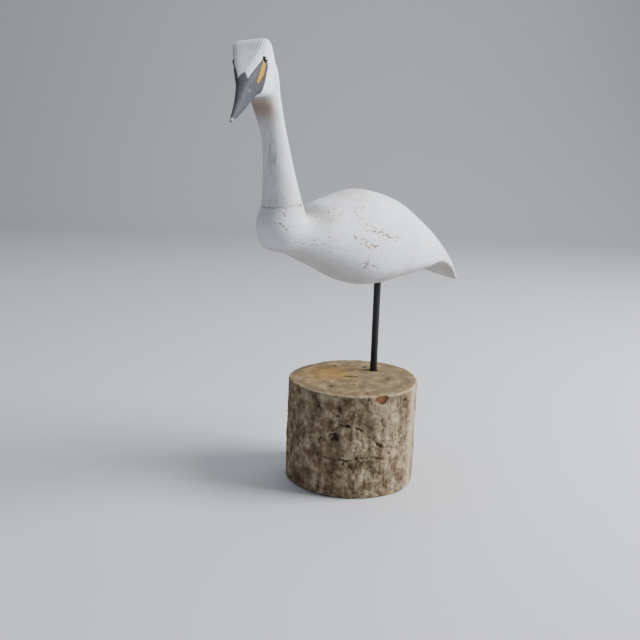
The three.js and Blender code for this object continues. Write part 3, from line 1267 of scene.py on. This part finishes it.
@dataclass
class NeckAndHead:
    """The second carving: neck, blocky head with a combed crown, and the long bill."""

    middle_y: float = 5.0
    turn: float = math.radians(45)
    lean: float = math.radians(7)
    place: tuple[float, float] = (-113.9, -8.0)
    seam_gap: float = 0.12
    neck_rings: int = 110
    neck_sides: int = 120
    head_rings: int = 170
    head_sides: int = 168
    voxel: float = 0.82
    spine: tuple[tuple[float, float, float], ...] = (
        (-79, 0, 246.25),
        (-82.3, 0, 268),
        (-87, 0, 296),
        (-95.5, -1, 322),
        (-103.5, -2.5, 343),
        (-107, -4, 354),
    )
    radii: tuple[float, ...] = (16.2, 12.9, 10, 11, 13.7, 11.5)
    seam: tuple[tuple[float, float], tuple[float, float]] = ((-62.6, 248.2), (-95.4, 244.2))
    cuts: tuple[HeadCut, ...] = (
        HeadCut(-17, 357, 336, (13.4, 14.6), 1.4, 3),
        HeadCut(-6, 368.4, 329, (14.6, 14.6), -0.3, 7),
        HeadCut(8, 359.2, 327, (12.7, 12.7), 0.4, 5.5),
        HeadCut(20, 351.1, 328, (10, 9.2), 0.1, 5),
        HeadCut(33, 342.2, 324, (6.2, 6.3), 0.1, 4),
        HeadCut(55, 327, 316.5, (3, 4), 0.2, 3),
        HeadCut(78, 311.8, 309.4, (1.2, 1.4), -1, 2.4),
    )
    eye_at: float = 10.2
    eye_level: float = 352.1
    eye_radius: float = 3.2
    brow_from: tuple[float, float] = (-6.0, 10.4)
    brow_to: tuple[float, float] = (30.0, 0.2)
    brow_fall: float = 0.2
    comb_pitch: float = 2.0
    comb_depth: float = 0.42
    comb_drift: float = 0.283
    # The bill paint's back border: the angle round the cut from the crown's middle, and how far forward
    border_angle: tuple[float, ...] = (0, 12, 34, 40, 45, 48, 50, 60, 74, 84, 106, 119, 128, 150, 180)
    border_at: tuple[float, ...] = (30.2, 31.4, 36.2, 30, 22.6, 16.6, 10, 8, 7.7, 11.4, 15, 17.6, 18.8, 20, 21)
    lore: tuple[tuple[float, float], ...] = ((11.9, 350.9), (18.5, 343.1), (25.4, 336.6))
    lore_half: tuple[float, ...] = (1.6, 2.6, 1.3)
    nostril: tuple[float, float] = (39.9, 333.1)
    worn_spot: tuple[float, float] = (41.4, 330.5)

    def neck_rows(self) -> Array:
        """Rings of the neck, square to its curved middle line."""
        t = np.linspace(0, 1, self.neck_rings)
        middle = through([(x, self.middle_y + y, z) for x, y, z in self.spine], t)
        tangent = np.gradient(middle, axis=0)
        tangent /= np.linalg.norm(tangent, axis=1)[:, None]
        radius = through(self.radii, t)
        slope = math.atan2(self.seam[0][1] - self.seam[1][1], self.seam[0][0] - self.seam[1][0])
        tangent[0] = (-math.sin(slope), 0, math.cos(slope))
        middle[0] += self.seam_gap * tangent[0]
        fore = np.array([-1.0, 0, 0]) - tangent * -tangent[:, :1]
        fore /= np.linalg.norm(fore, axis=1)[:, None]
        side = np.cross(tangent, fore)
        angle = np.linspace(0, 2 * math.pi, self.neck_sides, endpoint=False)
        around = fore[:, None] * np.cos(angle)[None, :, None] + side[:, None] * np.sin(angle)[None, :, None]
        return middle[:, None] + around * radius[:, None, None]

    def head_rows(self) -> Array:
        """Rings of the head and bill along the head's forward line."""
        t = np.linspace(0, 1, self.head_rings)
        at = through([c.at for c in self.cuts], t)[:, None]
        top = through([c.top for c in self.cuts], t)[:, None]
        under = through([c.under for c in self.cuts], t)[:, None]
        half = through([c.half for c in self.cuts], t)
        aside = through([c.aside for c in self.cuts], t)[:, None]
        power = 2 / through([c.square for c in self.cuts], t)[:, None]
        angle = np.linspace(0, 2 * math.pi, self.head_sides, endpoint=False)[None, :]
        down = 0.5 - 0.5 * signed_power(np.cos(angle), power)
        width = half[:, :1] + (half[:, 1:] - half[:, :1]) * down
        across = width * signed_power(np.sin(angle), power)
        rise = (0.5 - down) * (top - under)
        brow = np.interp(at, (self.brow_from[0], self.brow_to[0]), (self.brow_from[1], self.brow_to[1]))
        rise = rise - self.brow_fall * np.maximum(0, across - brow) * (at < self.brow_to[0] + 6) * (down < 0.4)
        level = (top + under) / 2
        left = across * math.cos(self.lean) - rise * math.sin(self.lean) + aside
        z = level + rise * math.cos(self.lean) + across * math.sin(self.lean)
        x = self.place[0] - math.cos(self.turn) * at + math.sin(self.turn) * left
        y = self.middle_y + self.place[1] - math.sin(self.turn) * at - math.cos(self.turn) * left
        return np.stack([x, y, z], axis=2)

    def gaze(self, points: Array) -> Gaze:
        """Points in the head's own frame.

        Args:
            points: Places in mm in the row's frame.

        Returns:
            How far forward, across to the left and up from the cut's middle each lies, its level without the
            head's lean, and its angle round the cut, where 0 is the crown, 90 the left and -90 the right.
        """
        x = points[:, 0] - self.place[0]
        y = points[:, 1] - self.middle_y - self.place[1]
        forward = -math.cos(self.turn) * x - math.sin(self.turn) * y
        left = math.sin(self.turn) * x - math.cos(self.turn) * y
        at = [c.at for c in self.cuts]
        fields = [
            np.interp(forward, at, [getter(c) for c in self.cuts])
            for getter in (
                lambda c: c.top,
                lambda c: c.under,
                lambda c: c.half[0],
                lambda c: c.half[1],
                lambda c: c.aside,
            )
        ]
        top, under, half_top, half_under, aside = fields
        left = left - aside
        up = points[:, 2] - (top + under) / 2
        across = left * math.cos(self.lean) + up * math.sin(self.lean)
        rise = up * math.cos(self.lean) - left * math.sin(self.lean)
        down = np.clip(0.5 - rise / (top - under), 0, 1)
        half = half_top * (1 - down) + half_under * down
        angle = np.degrees(np.arctan2(across / half, 2 * rise / (top - under)))
        return Gaze(forward, across, rise, (top + under) / 2 + rise, angle)

    def union(self) -> bpy.types.Object:
        """Neck and head as one even skin."""
        neck = skin("neck_form", self.neck_rows())
        head = skin("head_form", self.head_rows())
        shape = bmesh.new()
        shape.from_mesh(neck.data)
        shape.from_mesh(head.data)
        shape.to_mesh(neck.data)
        shape.free()
        bpy.data.objects.remove(head)
        remesh = neck.modifiers.new("even", "REMESH")
        remesh.mode = "VOXEL"
        remesh.voxel_size = self.voxel * MM
        bpy.context.view_layer.update()
        graph = bpy.context.evaluated_depsgraph_get()
        mesh = bpy.data.meshes.new_from_object(neck.evaluated_get(graph))
        mesh.name = "neck_and_head_carving"
        bpy.data.objects.remove(neck)
        return link("neck_and_head_carving", mesh)

    def joint_weight(self, points: Array) -> Array:
        """How near each point is to where the neck's skin meets the head's."""
        share = np.ones(len(points))
        for rows in (self.neck_rows()[2:], self.head_rows()):
            cloud = rows[::2, ::2].reshape(-1, 3)
            tree = kdtree.KDTree(len(cloud))
            for i, p in enumerate(cloud):
                tree.insert(p, i)
            tree.balance()
            away = np.array([tree.find(p)[2] for p in points])
            share *= step(away, 4.5, 1.0)
        return share

    def squared_foot(self, points: Array) -> Array:
        """Gives the neck's sawn foot its crisp edge again, which the even skin had rounded.

        Args:
            points: The skin's places in mm.

        Returns:
            The places, with those at the foot moved out to its edge and down to the seam.
        """
        slope = math.atan2(self.seam[0][1] - self.seam[1][1], self.seam[0][0] - self.seam[1][0])
        up = np.array([-math.sin(slope), 0, math.cos(slope)])
        middle = np.array([self.spine[0][0], self.middle_y + self.spine[0][1], self.spine[0][2]])
        height = (points - middle) @ up
        flat = points - middle - height[:, None] * up
        away = np.linalg.norm(flat, axis=1)
        wall = self.radii[0] - 0.15 * height
        foot = (height < 1.6) & (away > wall - 1.3)
        out = np.where(foot, wall / np.maximum(away, 1e-6), 1.0)
        lower = np.where(height < 0.75, self.seam_gap, height)
        return middle + flat * out[:, None] + lower[:, None] * up

    def comb_phase(self, gaze: Gaze) -> Array:
        """Place in the comb's stroke at each point, where whole numbers are the bottoms of the grooves."""
        wander = 0.12 * np.sin(gaze.forward * 0.23 + gaze.across * 0.31)
        return (gaze.across + self.comb_drift * gaze.forward + wander) / self.comb_pitch

    def comb_area(self, gaze: Gaze) -> Array:
        """Where the crown is combed: 1 inside, 0 outside."""
        brow = np.interp(gaze.forward, (self.brow_from[0], self.brow_to[0]), (self.brow_from[1], self.brow_to[1]))
        ahead = np.interp(np.abs(gaze.angle), self.border_angle, self.border_at)
        inside = step(gaze.across - brow, 0.3, -0.3) * step(gaze.forward - ahead, 0.2, -0.8)
        return inside * step(gaze.angle, -62, -48) * step(gaze.forward, -9.5, -7.5) * (gaze.rise > 0)

    def build(self) -> bpy.types.Object:
        """Makes the neck and head with the combed crown and the paint's masks."""
        piece = self.union()
        points = places(piece)
        relax(piece, np.full(len(points), 0.3), 2)
        put(piece, self.squared_foot(places(piece)))
        upper = points[:, 2] > 315
        weight = np.zeros(len(points))
        weight[upper] = self.joint_weight(points[upper])
        relax(piece, 0.5 * weight, 14)
        gaze = self.gaze(places(piece))
        refine(piece, (gaze.forward > -9) & (gaze.level > 300) & (places(piece)[:, 2] > 306))
        gaze = self.gaze(places(piece))
        refine(piece, (self.comb_area(gaze) > 0.02))
        gaze = self.gaze(places(piece))
        points = places(piece)
        groove = np.maximum(0, np.cos(2 * math.pi * self.comb_phase(gaze))) ** 1.5
        comb = self.comb_area(gaze)
        facets = 0.12 * bumps(points, 11, 13) * step(points[:, 2], 247.5, 252)
        nostril = np.hypot(gaze.forward - self.nostril[0], (gaze.level - self.nostril[1]) * 1.5)
        socket = bell(np.hypot(gaze.forward - self.eye_at, gaze.level - self.eye_level), 3.4)
        dish = 0.8 * socket * step(np.abs(gaze.angle), 46, 58)
        press(piece, facets - self.comb_depth * groove * comb - 0.45 * bell(nostril, 1.0) - dish)
        self.paint(piece, groove * comb, comb)
        smooth(piece, 55)
        return piece

    def paint(self, piece: bpy.types.Object, groove: Array, comb: Array) -> None:
        """Marks the painted and dirty areas, and the painted shade under the jaw and on the combed crown.

        Args:
            piece: The carving.
            groove: The comb's grooves, from 0 to 1.
            comb: The combed area, from 0 to 1.
        """
        points = places(piece)
        gaze = self.gaze(points)
        brushy = 0.25 * bumps(points, 1.6, 21)
        ahead = np.interp(np.abs(gaze.angle), self.border_angle, self.border_at)
        head = (gaze.forward > 2) & (points[:, 2] > 300)
        bill = step(gaze.forward - ahead + brushy, -0.25, 0.25) * head
        flat = np.stack([gaze.forward, gaze.level], 1)
        walls = step(np.abs(gaze.angle), 44, 50)
        side = step(np.abs(gaze.angle), 50, 56)
        lore = np.asarray(self.lore, float)
        length = lore[-1] - lore[0]
        along = np.clip((flat - lore[0]) @ length / (length @ length), 0, 1)
        half = np.interp(along, np.linspace(0, 1, len(self.lore_half)), self.lore_half)
        beside = line_distance(flat, self.lore)
        stripe = step(beside - half + 0.4 * brushy, 0.18, -0.18) * walls * head
        outline = step(beside - half, 1.3, 0.6) * walls * head
        edge = bell(gaze.forward - ahead - 0.5, 0.75) * step(np.abs(gaze.angle), 72, 90) * head
        brow = bell(gaze.forward - ahead - 0.6, 1.0) * step(np.abs(gaze.angle), 43, 47) * step(np.abs(gaze.angle), 62, 52) * head
        eye = np.hypot(gaze.forward - self.eye_at, gaze.level - self.eye_level)
        lid = step(eye, self.eye_radius + 0.1, self.eye_radius - 0.6) * side * head
        dot = bell(np.hypot(gaze.forward - 9.0, gaze.level - 357.4), 0.9) * (gaze.angle > 40)
        nostril = np.hypot(gaze.forward - self.nostril[0], (gaze.level - self.nostril[1]) * 1.5)
        worn = np.hypot(gaze.forward - self.worn_spot[0], gaze.level - self.worn_spot[1])
        tip = step(gaze.forward + 1.5 * brushy, 74.5, 77.5)
        ring = bell(eye - 9.6, 2.6) * step(gaze.forward, 4.5, 2.5) * step(np.abs(gaze.level - 354.5), 4.5, 2.5)
        mark(piece, Mask.BILL, bill)
        mark(piece, Mask.LORE, stripe * (1 - lid))
        mark(piece, Mask.LINE, np.maximum.reduce([0.85 * outline, 0.85 * edge, 0.6 * brow, lid, dot, bell(nostril, 0.9) * bill]))
        # Painted shade greys the combed crown, darkest in the grooves.
        mark(piece, Mask.COMB, comb * (0.3 + 0.7 * groove))
        mark(piece, Mask.RING, ring * (gaze.forward < self.eye_at) * walls * head)
        mark(piece, Mask.WORN, 0.8 * tip + 0.55 * bell(worn, 0.9) * (gaze.angle > 0))
        neck = step(points[:, 2], 330, 300)
        hair = bell(bumps(points * [1, 1, 0.1], 2.2, 31), 0.2) * bell(points[:, 2] - 288, 17)
        hair = hair * bell(np.hypot(points[:, 0] + 96, points[:, 1] + 1), 8)
        front = step(points[:, 0] + 84 + (points[:, 2] - 250) * 0.17, 4, -8)
        seam = bell(points[:, 2] - 249, 5)
        low = bell(points[:, 2] - 258, 10) * (0.5 + 0.5 * bumps(points * [1, 1, 0.5], 7, 35, 2))
        edge_line = step(points[:, 2] - 246.25 - (points[:, 0] + 79) * 0.122, 0.7, 0.3)
        cloud = 0.5 + 0.5 * bumps(points, 9, 33)
        # The grime here is dirt on the neck and at the seam, with a little painted shade on the combed crown.
        grime = 0.4 * neck * cloud + hair + 0.3 * seam + 0.4 * low + 0.1 * comb + 0.6 * edge_line
        mark(piece, Mask.GRIME_AND_SHADE, grime)
        mark(piece, Mask.PORES, 0.15 * seam * front + 0.15 * neck * front)
        facing = normals(piece)
        # Painted shadow: a brown shade on the front of the neck under the jaw, where the head's shadow falls.
        ahead_of_neck = step(-0.93 * facing[:, 0] - 0.36 * facing[:, 1], -0.1, 0.8)
        throat_shadow = bell(points[:, 2] - 320, 14) * step(points[:, 2], 331, 327) * ahead_of_neck * (1 - bill)
        mark(piece, Mask.WARM_TINT_AND_SHADE, 0.85 * throat_shadow)
        mark(piece, Mask.FLECK, 0.75 * hair * step(bumps(points * [1, 1, 0.12], 1.3, 37), 0.1, 0.5))


@dataclass
class Eye:
    """A small ball of glass let into the side of the head."""

    node: str
    settle: tuple[float, float, float]
    radius: float = 3.2
    rows: int = 40
    sides: int = 64

    def build(self) -> bpy.types.Object:
        """Makes the ball where the CAD node is, settled into its carved socket by a millimetre or two."""
        low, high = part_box(self.node)
        middle = np.array((low + high) / 2) / MM + np.array(self.settle)
        polar = np.linspace(0.04, math.pi - 0.04, self.rows)[:, None]
        around = np.linspace(0, 2 * math.pi, self.sides, endpoint=False)[None, :]
        ball = np.stack(
            [np.sin(polar) * np.cos(around), np.sin(polar) * np.sin(around), np.cos(polar) + 0 * around],
            axis=2,
        )
        piece = skin(f"{self.node}_glass", middle + ball * self.radius)
        smooth(piece, 60)
        return piece


# The stand


@dataclass
class Rod:
    """The one leg: a straight steel rod from the log's socket into the belly."""

    x: float = 29.5
    y: float = 5.0
    radius: float = 3.175
    foot: float = 65.3
    top: float = 200.0
    sides: int = 56
    rows: int = 150
    edge: float = 0.4

    def build(self) -> bpy.types.Object:
        """Makes the rod with broken edges and the small waves of a hand-brushed coat."""
        z = np.linspace(self.foot + self.edge, self.top - self.edge, self.rows)
        around = np.linspace(0, 2 * math.pi, self.sides, endpoint=False)
        heights = np.concatenate([[self.foot], z, [self.top]])
        radii = np.concatenate([[self.radius - self.edge], np.full(self.rows, self.radius), [self.radius - self.edge]])
        x = self.x + radii[:, None] * np.cos(around)
        y = self.y + radii[:, None] * np.sin(around)
        rows = np.stack([x, y, np.repeat(heights[:, None], self.sides, axis=1)], axis=2)
        piece = skin("rod_steel", rows)
        points = places(piece)
        press(piece, 0.035 * bumps(points * [1, 1, 0.4], 2.4, 41) - 0.03)
        smooth(piece, 50)
        return piece


@dataclass
class Log:
    """The base: a slice of log with its bark off, sawn square at both ends."""

    radius: float = 55.6
    foot_radius: float = 55.9
    height: float = 91.0
    foot_edge: float = 1.5
    rim: float = 1.2
    slip_way: float = math.radians(-40)
    slip: tuple[float, float] = (0.6, 1.6)
    sides: int = 372
    levels: int = 150
    top_rings: int = 52
    scar_angle: float = 230.0
    scar_height: float = 48.0
    scar_half: tuple[float, float] = (12.0, 9.0)
    scar_rise: float = 1.6
    rod: tuple[float, float] = (29.5, 5.0)
    rod_radius: float = 3.175
    pith: tuple[float, float] = (0.0, 2.0)
    pith_crack: tuple[tuple[float, float], ...] = ((-4.5, 6.4), (-1, 2.6), (3.2, -1))
    worm_holes: tuple[tuple[float, float], ...] = (
        (-8, 40),
        (9, 35),
        (27, 36),
        (29, 17),
        (22, -21),
        (-14, -17),
        (-33, -9),
        (-21, -42),
    )
    worm_radius: float = 1.7
    # Cracks in the side as angle in degrees and height
    lid_crack: tuple[tuple[float, float], ...] = ((212, 60), (218, 65), (228, 64), (238, 61), (246, 54), (253, 48), (264, 38.5))
    low_crack: tuple[tuple[float, float], ...] = ((194, 36.5), (207, 35), (224, 34.5), (235, 36), (246, 37.5), (256, 35))
    crevice: tuple[tuple[float, float], ...] = ((280, 83), (283, 68), (284, 50), (286, 38), (284.5, 27))
    hollow: tuple[float, float] = (215, 53.5)
    chip: tuple[float, float] = (254.5, 87.5)
    warm_patch: tuple[float, float, float] = (-9, 20, 19)

    def plain_radius(self, angle: Array, share: Array) -> Array:
        """The log's main form.

        Args:
            angle: Round the axis, in radians.
            share: Height as a share of the whole.

        Returns:
            The radius in mm.
        """
        base = self.foot_radius + (self.radius - self.foot_radius) * share
        oval = 0.9 * np.cos(2 * angle + 0.6)
        lobes = 0.7 * np.cos(3 * angle - 1.1) + 0.5 * np.cos(5 * angle + 0.4)
        knots = 0.4 * np.cos(9 * angle + 6 * share) * np.sin(math.pi * share)
        slipped = (self.slip[0] + (self.slip[1] - self.slip[0]) * share) * np.cos(angle - self.slip_way)
        return base + oval + lobes + knots + slipped

    def side_place(self, degrees: Array, z: Array, line: Sequence[Sequence[float]]) -> Array:
        """Distance along the bark side, in mm, from points to a line of angle and height."""
        scale = math.radians(1) * self.radius
        flat = np.stack([degrees * scale, z], axis=1)
        return line_distance(flat, [(a * scale, h) for a, h in line])

    def relief(self, points: Array) -> Array:
        """Height of the side's carving by weather and tools over the main form, in mm."""
        degrees = np.degrees(np.arctan2(points[:, 1], points[:, 0])) % 360
        z = points[:, 2]
        stretched = points * [1, 1, 0.5]
        lumps = 0.5 * bumps(stretched, 6.5, 51, 3)
        ridges = 0.45 - 0.75 * np.abs(bumps(points * [1, 1, 0.3], 3.4, 55, 2))
        torn = step(bumps(points, 9, 59), -0.35, 0.3)
        creases = -0.85 * torn * bell(bumps(points * [1, 1, 0.55], 5.5, 61, 2), 0.12)
        creases -= 0.5 * bell(bumps(points * [1, 1, 0.4], 3.2, 63, 2), 0.15)
        front = bell((degrees - 232) / 62, 1.0)
        low = step(z, 34, 6) * front * 0.7 * bumps(points * [1, 1, 0.28], 3.6, 71, 2)
        dx = (degrees - self.scar_angle) * math.radians(1) * self.radius / self.scar_half[0]
        dz = (z - self.scar_height) / self.scar_half[1]
        away = np.hypot(dx, dz) + 0.1 * bumps(points, 5, 81)
        scar = self.scar_rise * np.exp(-(dx * dx + dz * dz)) + 0.32 * np.cos(away * 13) * bell(away, 1.15)
        jag = 0.9 * bumps(points, 3.0, 91, 2)
        gaping = 0.45 + 0.55 * step(bumps(points, 4.2, 93), -0.45, 0.35)
        cracks = -1.6 * gaping * bell(self.side_place(degrees, z, self.lid_crack) + jag, 1.0)
        cracks -= 1.3 * gaping * bell(self.side_place(degrees, z, self.low_crack) + jag, 0.8)
        cracks -= 1.3 * gaping * bell(self.side_place(degrees, z, self.crevice) + jag, 1.6)
        pit = np.hypot((degrees - self.hollow[0]) * 0.97, (z - self.hollow[1]) * 0.75)
        hollow = -2.0 * bell(pit + 1.2 * bumps(points, 3, 94), 4.4)
        chip = self.chip_place(points)
        bite = -1.6 * step(chip, 1.15, 0.75)
        calm = 1 - 0.8 * bell((degrees - 294) / 8, 1.0)
        quiet = 1 - 0.75 * step(chip, 1.3, 0.9)
        return (lumps + ridges + creases + low) * calm * quiet + scar + cracks + hollow + bite

    def chip_place(self, points: Array) -> Array:
        """Distance from the fresh chip's middle, where its ragged edge is about 1."""
        degrees = np.degrees(np.arctan2(points[:, 1], points[:, 0])) % 360
        away = np.hypot((degrees - self.chip[0]) * 0.97 / 5.6, (points[:, 2] - self.chip[1]) / 4.2)
        return away + 0.22 * bumps(points, 2.6, 96, 2)

    def rows(self) -> Array:
        """Rings of the skin from the underside's middle up the side and in over the top."""
        angle = np.linspace(0, 2 * math.pi, self.sides, endpoint=False)
        around = np.stack([np.cos(angle), np.sin(angle)], axis=1)

        def ring(z: float, inset: float, share_in: float = 1.0) -> Array:
            """One ring at a height, drawn in by an inset in mm and then to a share of its radius."""
            radius = (self.plain_radius(angle, np.full(self.sides, z / self.height)) - inset) * share_in
            return np.column_stack([around * radius[:, None], np.full(self.sides, z)])

        made = [ring(0, self.foot_edge, share) for share in (0.3, 0.6, 0.85)]
        made += [ring(0, self.foot_edge), ring(self.foot_edge * 0.12, self.foot_edge * 0.65)]
        made += [ring(self.foot_edge * 0.35, self.foot_edge * 0.4), ring(self.foot_edge * 0.65, self.foot_edge * 0.15)]
        made += [ring(z, 0) for z in np.linspace(self.foot_edge, self.height - self.rim, self.levels)]
        made += [ring(self.height - self.rim * 0.35, self.rim * 0.3), ring(self.height, self.rim)]
        made += [ring(self.height, self.rim, share) for share in np.linspace(0.985, 0.02, self.top_rings)]
        return np.array(made)

    def build(self) -> bpy.types.Object:
        """Makes the log with its weathered side, its cracked and worm-eaten top and its masks."""
        piece = skin("log_slice", self.rows())
        points = places(piece)
        on_top = points[:, 2] > self.height - 0.2
        spots = np.array(self.worm_holes)
        to_hole = np.linalg.norm(points[:, None, :2] - spots[None], axis=2).min(1)
        to_crack = line_distance(points[:, :2], self.pith_crack)
        to_rod = np.hypot(points[:, 0] - self.rod[0], points[:, 1] - self.rod[1])
        refine(piece, on_top & ((to_hole < 3) | (to_crack < 4) | (to_rod < 7)), 2)
        points = places(piece)
        radial = np.hypot(points[:, 0], points[:, 1])
        on_side = (points[:, 2] > 0.05) & (points[:, 2] < self.height - 0.05)
        relief = self.relief(points)
        blend = step(points[:, 2], 0.3, 5) * on_side
        outward = points[:, :2] / np.maximum(radial, 1)[:, None]
        rim_fade = 1 - 0.45 * step(points[:, 2], self.height - 3, self.height)
        flat_radius = self.plain_radius(np.arctan2(points[:, 1], points[:, 0]), np.ones(len(points)))
        rim_share = step(radial - flat_radius, -6, -1.2) * (points[:, 2] > self.height - 0.05)
        moved = relief * (blend * rim_fade + 0.55 * rim_share)
        points[:, :2] += outward * moved[:, None]
        # Painted shade: the deeper a crease, the darker.
        cavity = step(-relief, 0.35, 1.7) * on_side
        top = points[:, 2] > self.height - 0.3
        to_hole = np.linalg.norm(points[:, None, :2] - spots[None], axis=2).min(1)
        to_crack = line_distance(points[:, :2], self.pith_crack) + 0.35 * bumps(points, 2, 95)
        to_rod = np.hypot(points[:, 0] - self.rod[0], points[:, 1] - self.rod[1])
        holes = step(to_hole + 0.3 * bumps(points, 1.4, 97), self.worm_radius, self.worm_radius * 0.45)
        stain = 0.4 * step(to_hole + 0.8 * bumps(points, 2.0, 98), 3.6, 1.2)
        crack = step(to_crack, 1.7, 0.8)
        seat = step(to_rod, self.rod_radius + 0.9, self.rod_radius + 0.4)
        saw = 0.09 * bumps(points * [0.35, 1, 1], 2.4, 99) + 0.12 * bumps(points, 8, 101)
        fray = 0.9 * bumps(points, 3.0, 103, 2) * step(radial - flat_radius, -4, -0.5)
        sink = 1.6 * holes + 2.6 * crack + 1.2 * seat - saw - np.minimum(fray, 0.0)
        points[:, 2] -= np.where(top, np.maximum(sink, 0), 0)
        put(piece, points)
        ridge = step(relief, 0.5, 1.5) * on_side
        # Holes, cracks and the rod's seat get painted shade; the ring round each hole is a stain.
        self.mark_areas(piece, cavity, ridge, top, np.maximum.reduce([holes, crack, stain, 0.85 * seat]))
        smooth(piece, 60)
        return piece

    def mark_areas(
        self, piece: bpy.types.Object, cavity: Array, ridge: Array, top: Array, pits: Array
    ) -> None:
        """Marks painted shade in creases, pale wear with painted highlights, the fresh chip and the warm patch, and
        splits top from side.

        Args:
            piece: The log.
            cavity: How deep in a crease of the side each point lies.
            ridge: How high on a rubbed ridge of the side each point lies.
            top: True on the sawn top.
            pits: Holes and cracks in the top.
        """
        points = places(piece)
        degrees = np.degrees(np.arctan2(points[:, 1], points[:, 0])) % 360
        chip = self.chip_place(points)
        # Painted highlight: a pale strip and a patch of light on the side towards the key light.
        lit_strip = bell((degrees - 294) / 7, 1.0)
        glow = bell((degrees - 258) / 14, 1.0) * bell((points[:, 2] - 74) / 13, 1.0)
        scar = bell((degrees - self.scar_angle) / 11, 1.0) * bell((points[:, 2] - self.scar_height) / 7, 1.0)
        rim = step(points[:, 2], self.height - 1.8, self.height - 0.4)
        warm = np.hypot(points[:, 0] - self.warm_patch[0], points[:, 1] - self.warm_patch[1])
        mark(piece, Mask.HOLLOW_SHADE_AND_STAIN, np.where(top, pits, cavity))
        mark(piece, Mask.PALE_WEAR_AND_HIGHLIGHT, 0.75 * lit_strip + 0.5 * glow + 0.35 * scar + 0.7 * rim + 0.55 * ridge)
        mark(piece, Mask.CHIP, step(chip, 1.1, 0.75) * 0.8 * ~top)
        mark(piece, Mask.WARM_TINT_AND_SHADE, bell(warm, self.warm_patch[2]))
        is_top = [all(top[v] for v in face.vertices) for face in piece.data.polygons]
        piece.data.polygons.foreach_set("material_index", np.array(is_top, dtype=np.int32))


# The studio


@dataclass(frozen=True)
class Lamp:
    """A soft square light: where it stands, its width, its power and its colour."""

    name: str
    place: tuple[float, float, float]
    width: float
    power: float
    colour: str


@dataclass
class Studio:
    """Pale paper floor, soft lights and the camera at the photograph's place, in metres."""

    aim: tuple[float, float, float] = (-0.03, 0.0, 0.19)
    camera_place: tuple[float, float, float] = (-0.506, -0.5563, 0.3216)
    heading: float = math.radians(39.968)
    pitch: float = math.radians(13.468)
    roll: float = math.radians(1.84)
    lens: float = 50.0
    sky: str = "#c9cdd3"
    sky_strength: float = 0.3
    lamps: tuple[Lamp, ...] = (
        Lamp("key", (0.92, -0.8, 1.0), 0.8, 54.0, "#fbfbfb"),
        Lamp("fill", (-1.25, 0.1, 0.7), 1.2, 1.5, "#dfe8f7"),
        Lamp("top", (0.3, 0.3, 1.6), 1.2, 14.0, "#f4f6ff"),
    )

    def floor(self) -> None:
        """Lays the paper, which curves up behind the object."""
        reach, wall, bend = 2.2, 1.5, 0.6
        ahead = Vector((math.sin(self.heading), math.cos(self.heading), 0))
        aside = Vector((ahead.y, -ahead.x, 0))
        turns = [math.radians(a) for a in range(0, 91, 6)]
        profile = [(-reach, 0.0)]
        profile += [(wall + bend * math.sin(a), bend - bend * math.cos(a)) for a in turns]
        profile.append((wall + bend, 2.2))
        points = [tuple(ahead * d + aside * s + Vector((0, 0, h))) for d, h in profile for s in (-3.0, 3.0)]
        faces = [(2 * i, 2 * i + 1, 2 * i + 3, 2 * i + 2) for i in range(len(profile) - 1)]
        mesh = bpy.data.meshes.new("paper_floor")
        mesh.from_pydata(points, [], faces)
        mesh.materials.append(PalePaper().material())
        sheet = link("paper_floor", mesh)
        smooth(sheet, 60)

    def light(self) -> None:
        """Sets the lamps and the sky."""
        for lamp in self.lamps:
            data = bpy.data.lights.new(lamp.name, "AREA")
            data.shape = "SQUARE"
            data.size = lamp.width
            data.energy = lamp.power
            data.color = srgb(lamp.colour)[:3]
            made = bpy.data.objects.new(lamp.name, data)
            made.location = lamp.place
            way = Vector(self.aim) - Vector(lamp.place)
            made.rotation_mode = "QUATERNION"
            made.rotation_quaternion = way.to_track_quat("-Z", "Y")
            bpy.context.scene.collection.objects.link(made)
        world = bpy.data.worlds.new("studio")
        world.use_nodes = True
        back = world.node_tree.nodes["Background"]
        back.inputs["Color"].default_value = srgb(self.sky)
        back.inputs["Strength"].default_value = self.sky_strength
        bpy.context.scene.world = world

    def camera(self) -> None:
        """Stands the camera where the photograph was taken."""
        data = bpy.data.cameras.new("photo_camera")
        data.lens = self.lens
        data.sensor_width = 36.0
        data.clip_start = 0.01
        made = bpy.data.objects.new("photo_camera", data)
        flat = math.cos(self.pitch)
        way = Vector((math.sin(self.heading) * flat, math.cos(self.heading) * flat, -math.sin(self.pitch)))
        turned = way.to_track_quat("-Z", "Y").to_matrix().to_4x4() @ Matrix.Rotation(self.roll, 4, "Z")
        made.matrix_world = Matrix.Translation(self.camera_place) @ turned
        bpy.context.scene.collection.objects.link(made)
        bpy.context.scene.camera = made


@dataclass
class Heron:
    """The whole piece: bird, rod and log, each dressed with its finish."""

    body: Body = field(default_factory=Body)
    head: NeckAndHead = field(default_factory=NeckAndHead)
    eyes: tuple[Eye, Eye] = (Eye("eye_left", (0.9, 0.9, -2.0)), Eye("eye_right", (0.1, 1.1, -1.8)))
    rod: Rod = field(default_factory=Rod)
    base: Log = field(default_factory=Log)

    def dress(self) -> None:
        """Builds every piece in order."""
        finish_piece(self.body.build(), Limewash("limewashed_body", Grain.BODY).material(), Slot.WHITE, "body")
        paint = HeadPaint("limewashed_head", Grain.NECK).material()
        finish_piece(self.head.build(), paint, Slot.WHITE, "neck_and_head")
        glass = DarkGlass().material()
        for eye in self.eyes:
            finish_piece(eye.build(), glass, Slot.EYE, eye.node)
        finish_piece(self.rod.build(), BlackSteel().material(), Slot.ROD, "rod")
        log_piece = self.base.build()
        finish_piece(log_piece, DebarkedWood().material(), Slot.LOG, "log")
        pith = (self.base.pith[0], self.base.pith[1], self.base.height)
        log_piece.data.materials.append(EndGrain(pith).material())


def main() -> None:
    """Builds the heron and the studio."""
    logging.basicConfig(level=logging.INFO, format="%(name)s %(message)s")
    studio = Studio()
    studio.camera()
    studio.floor()
    studio.light()
    Heron().dress()


if __name__ == "__main__":
    main()
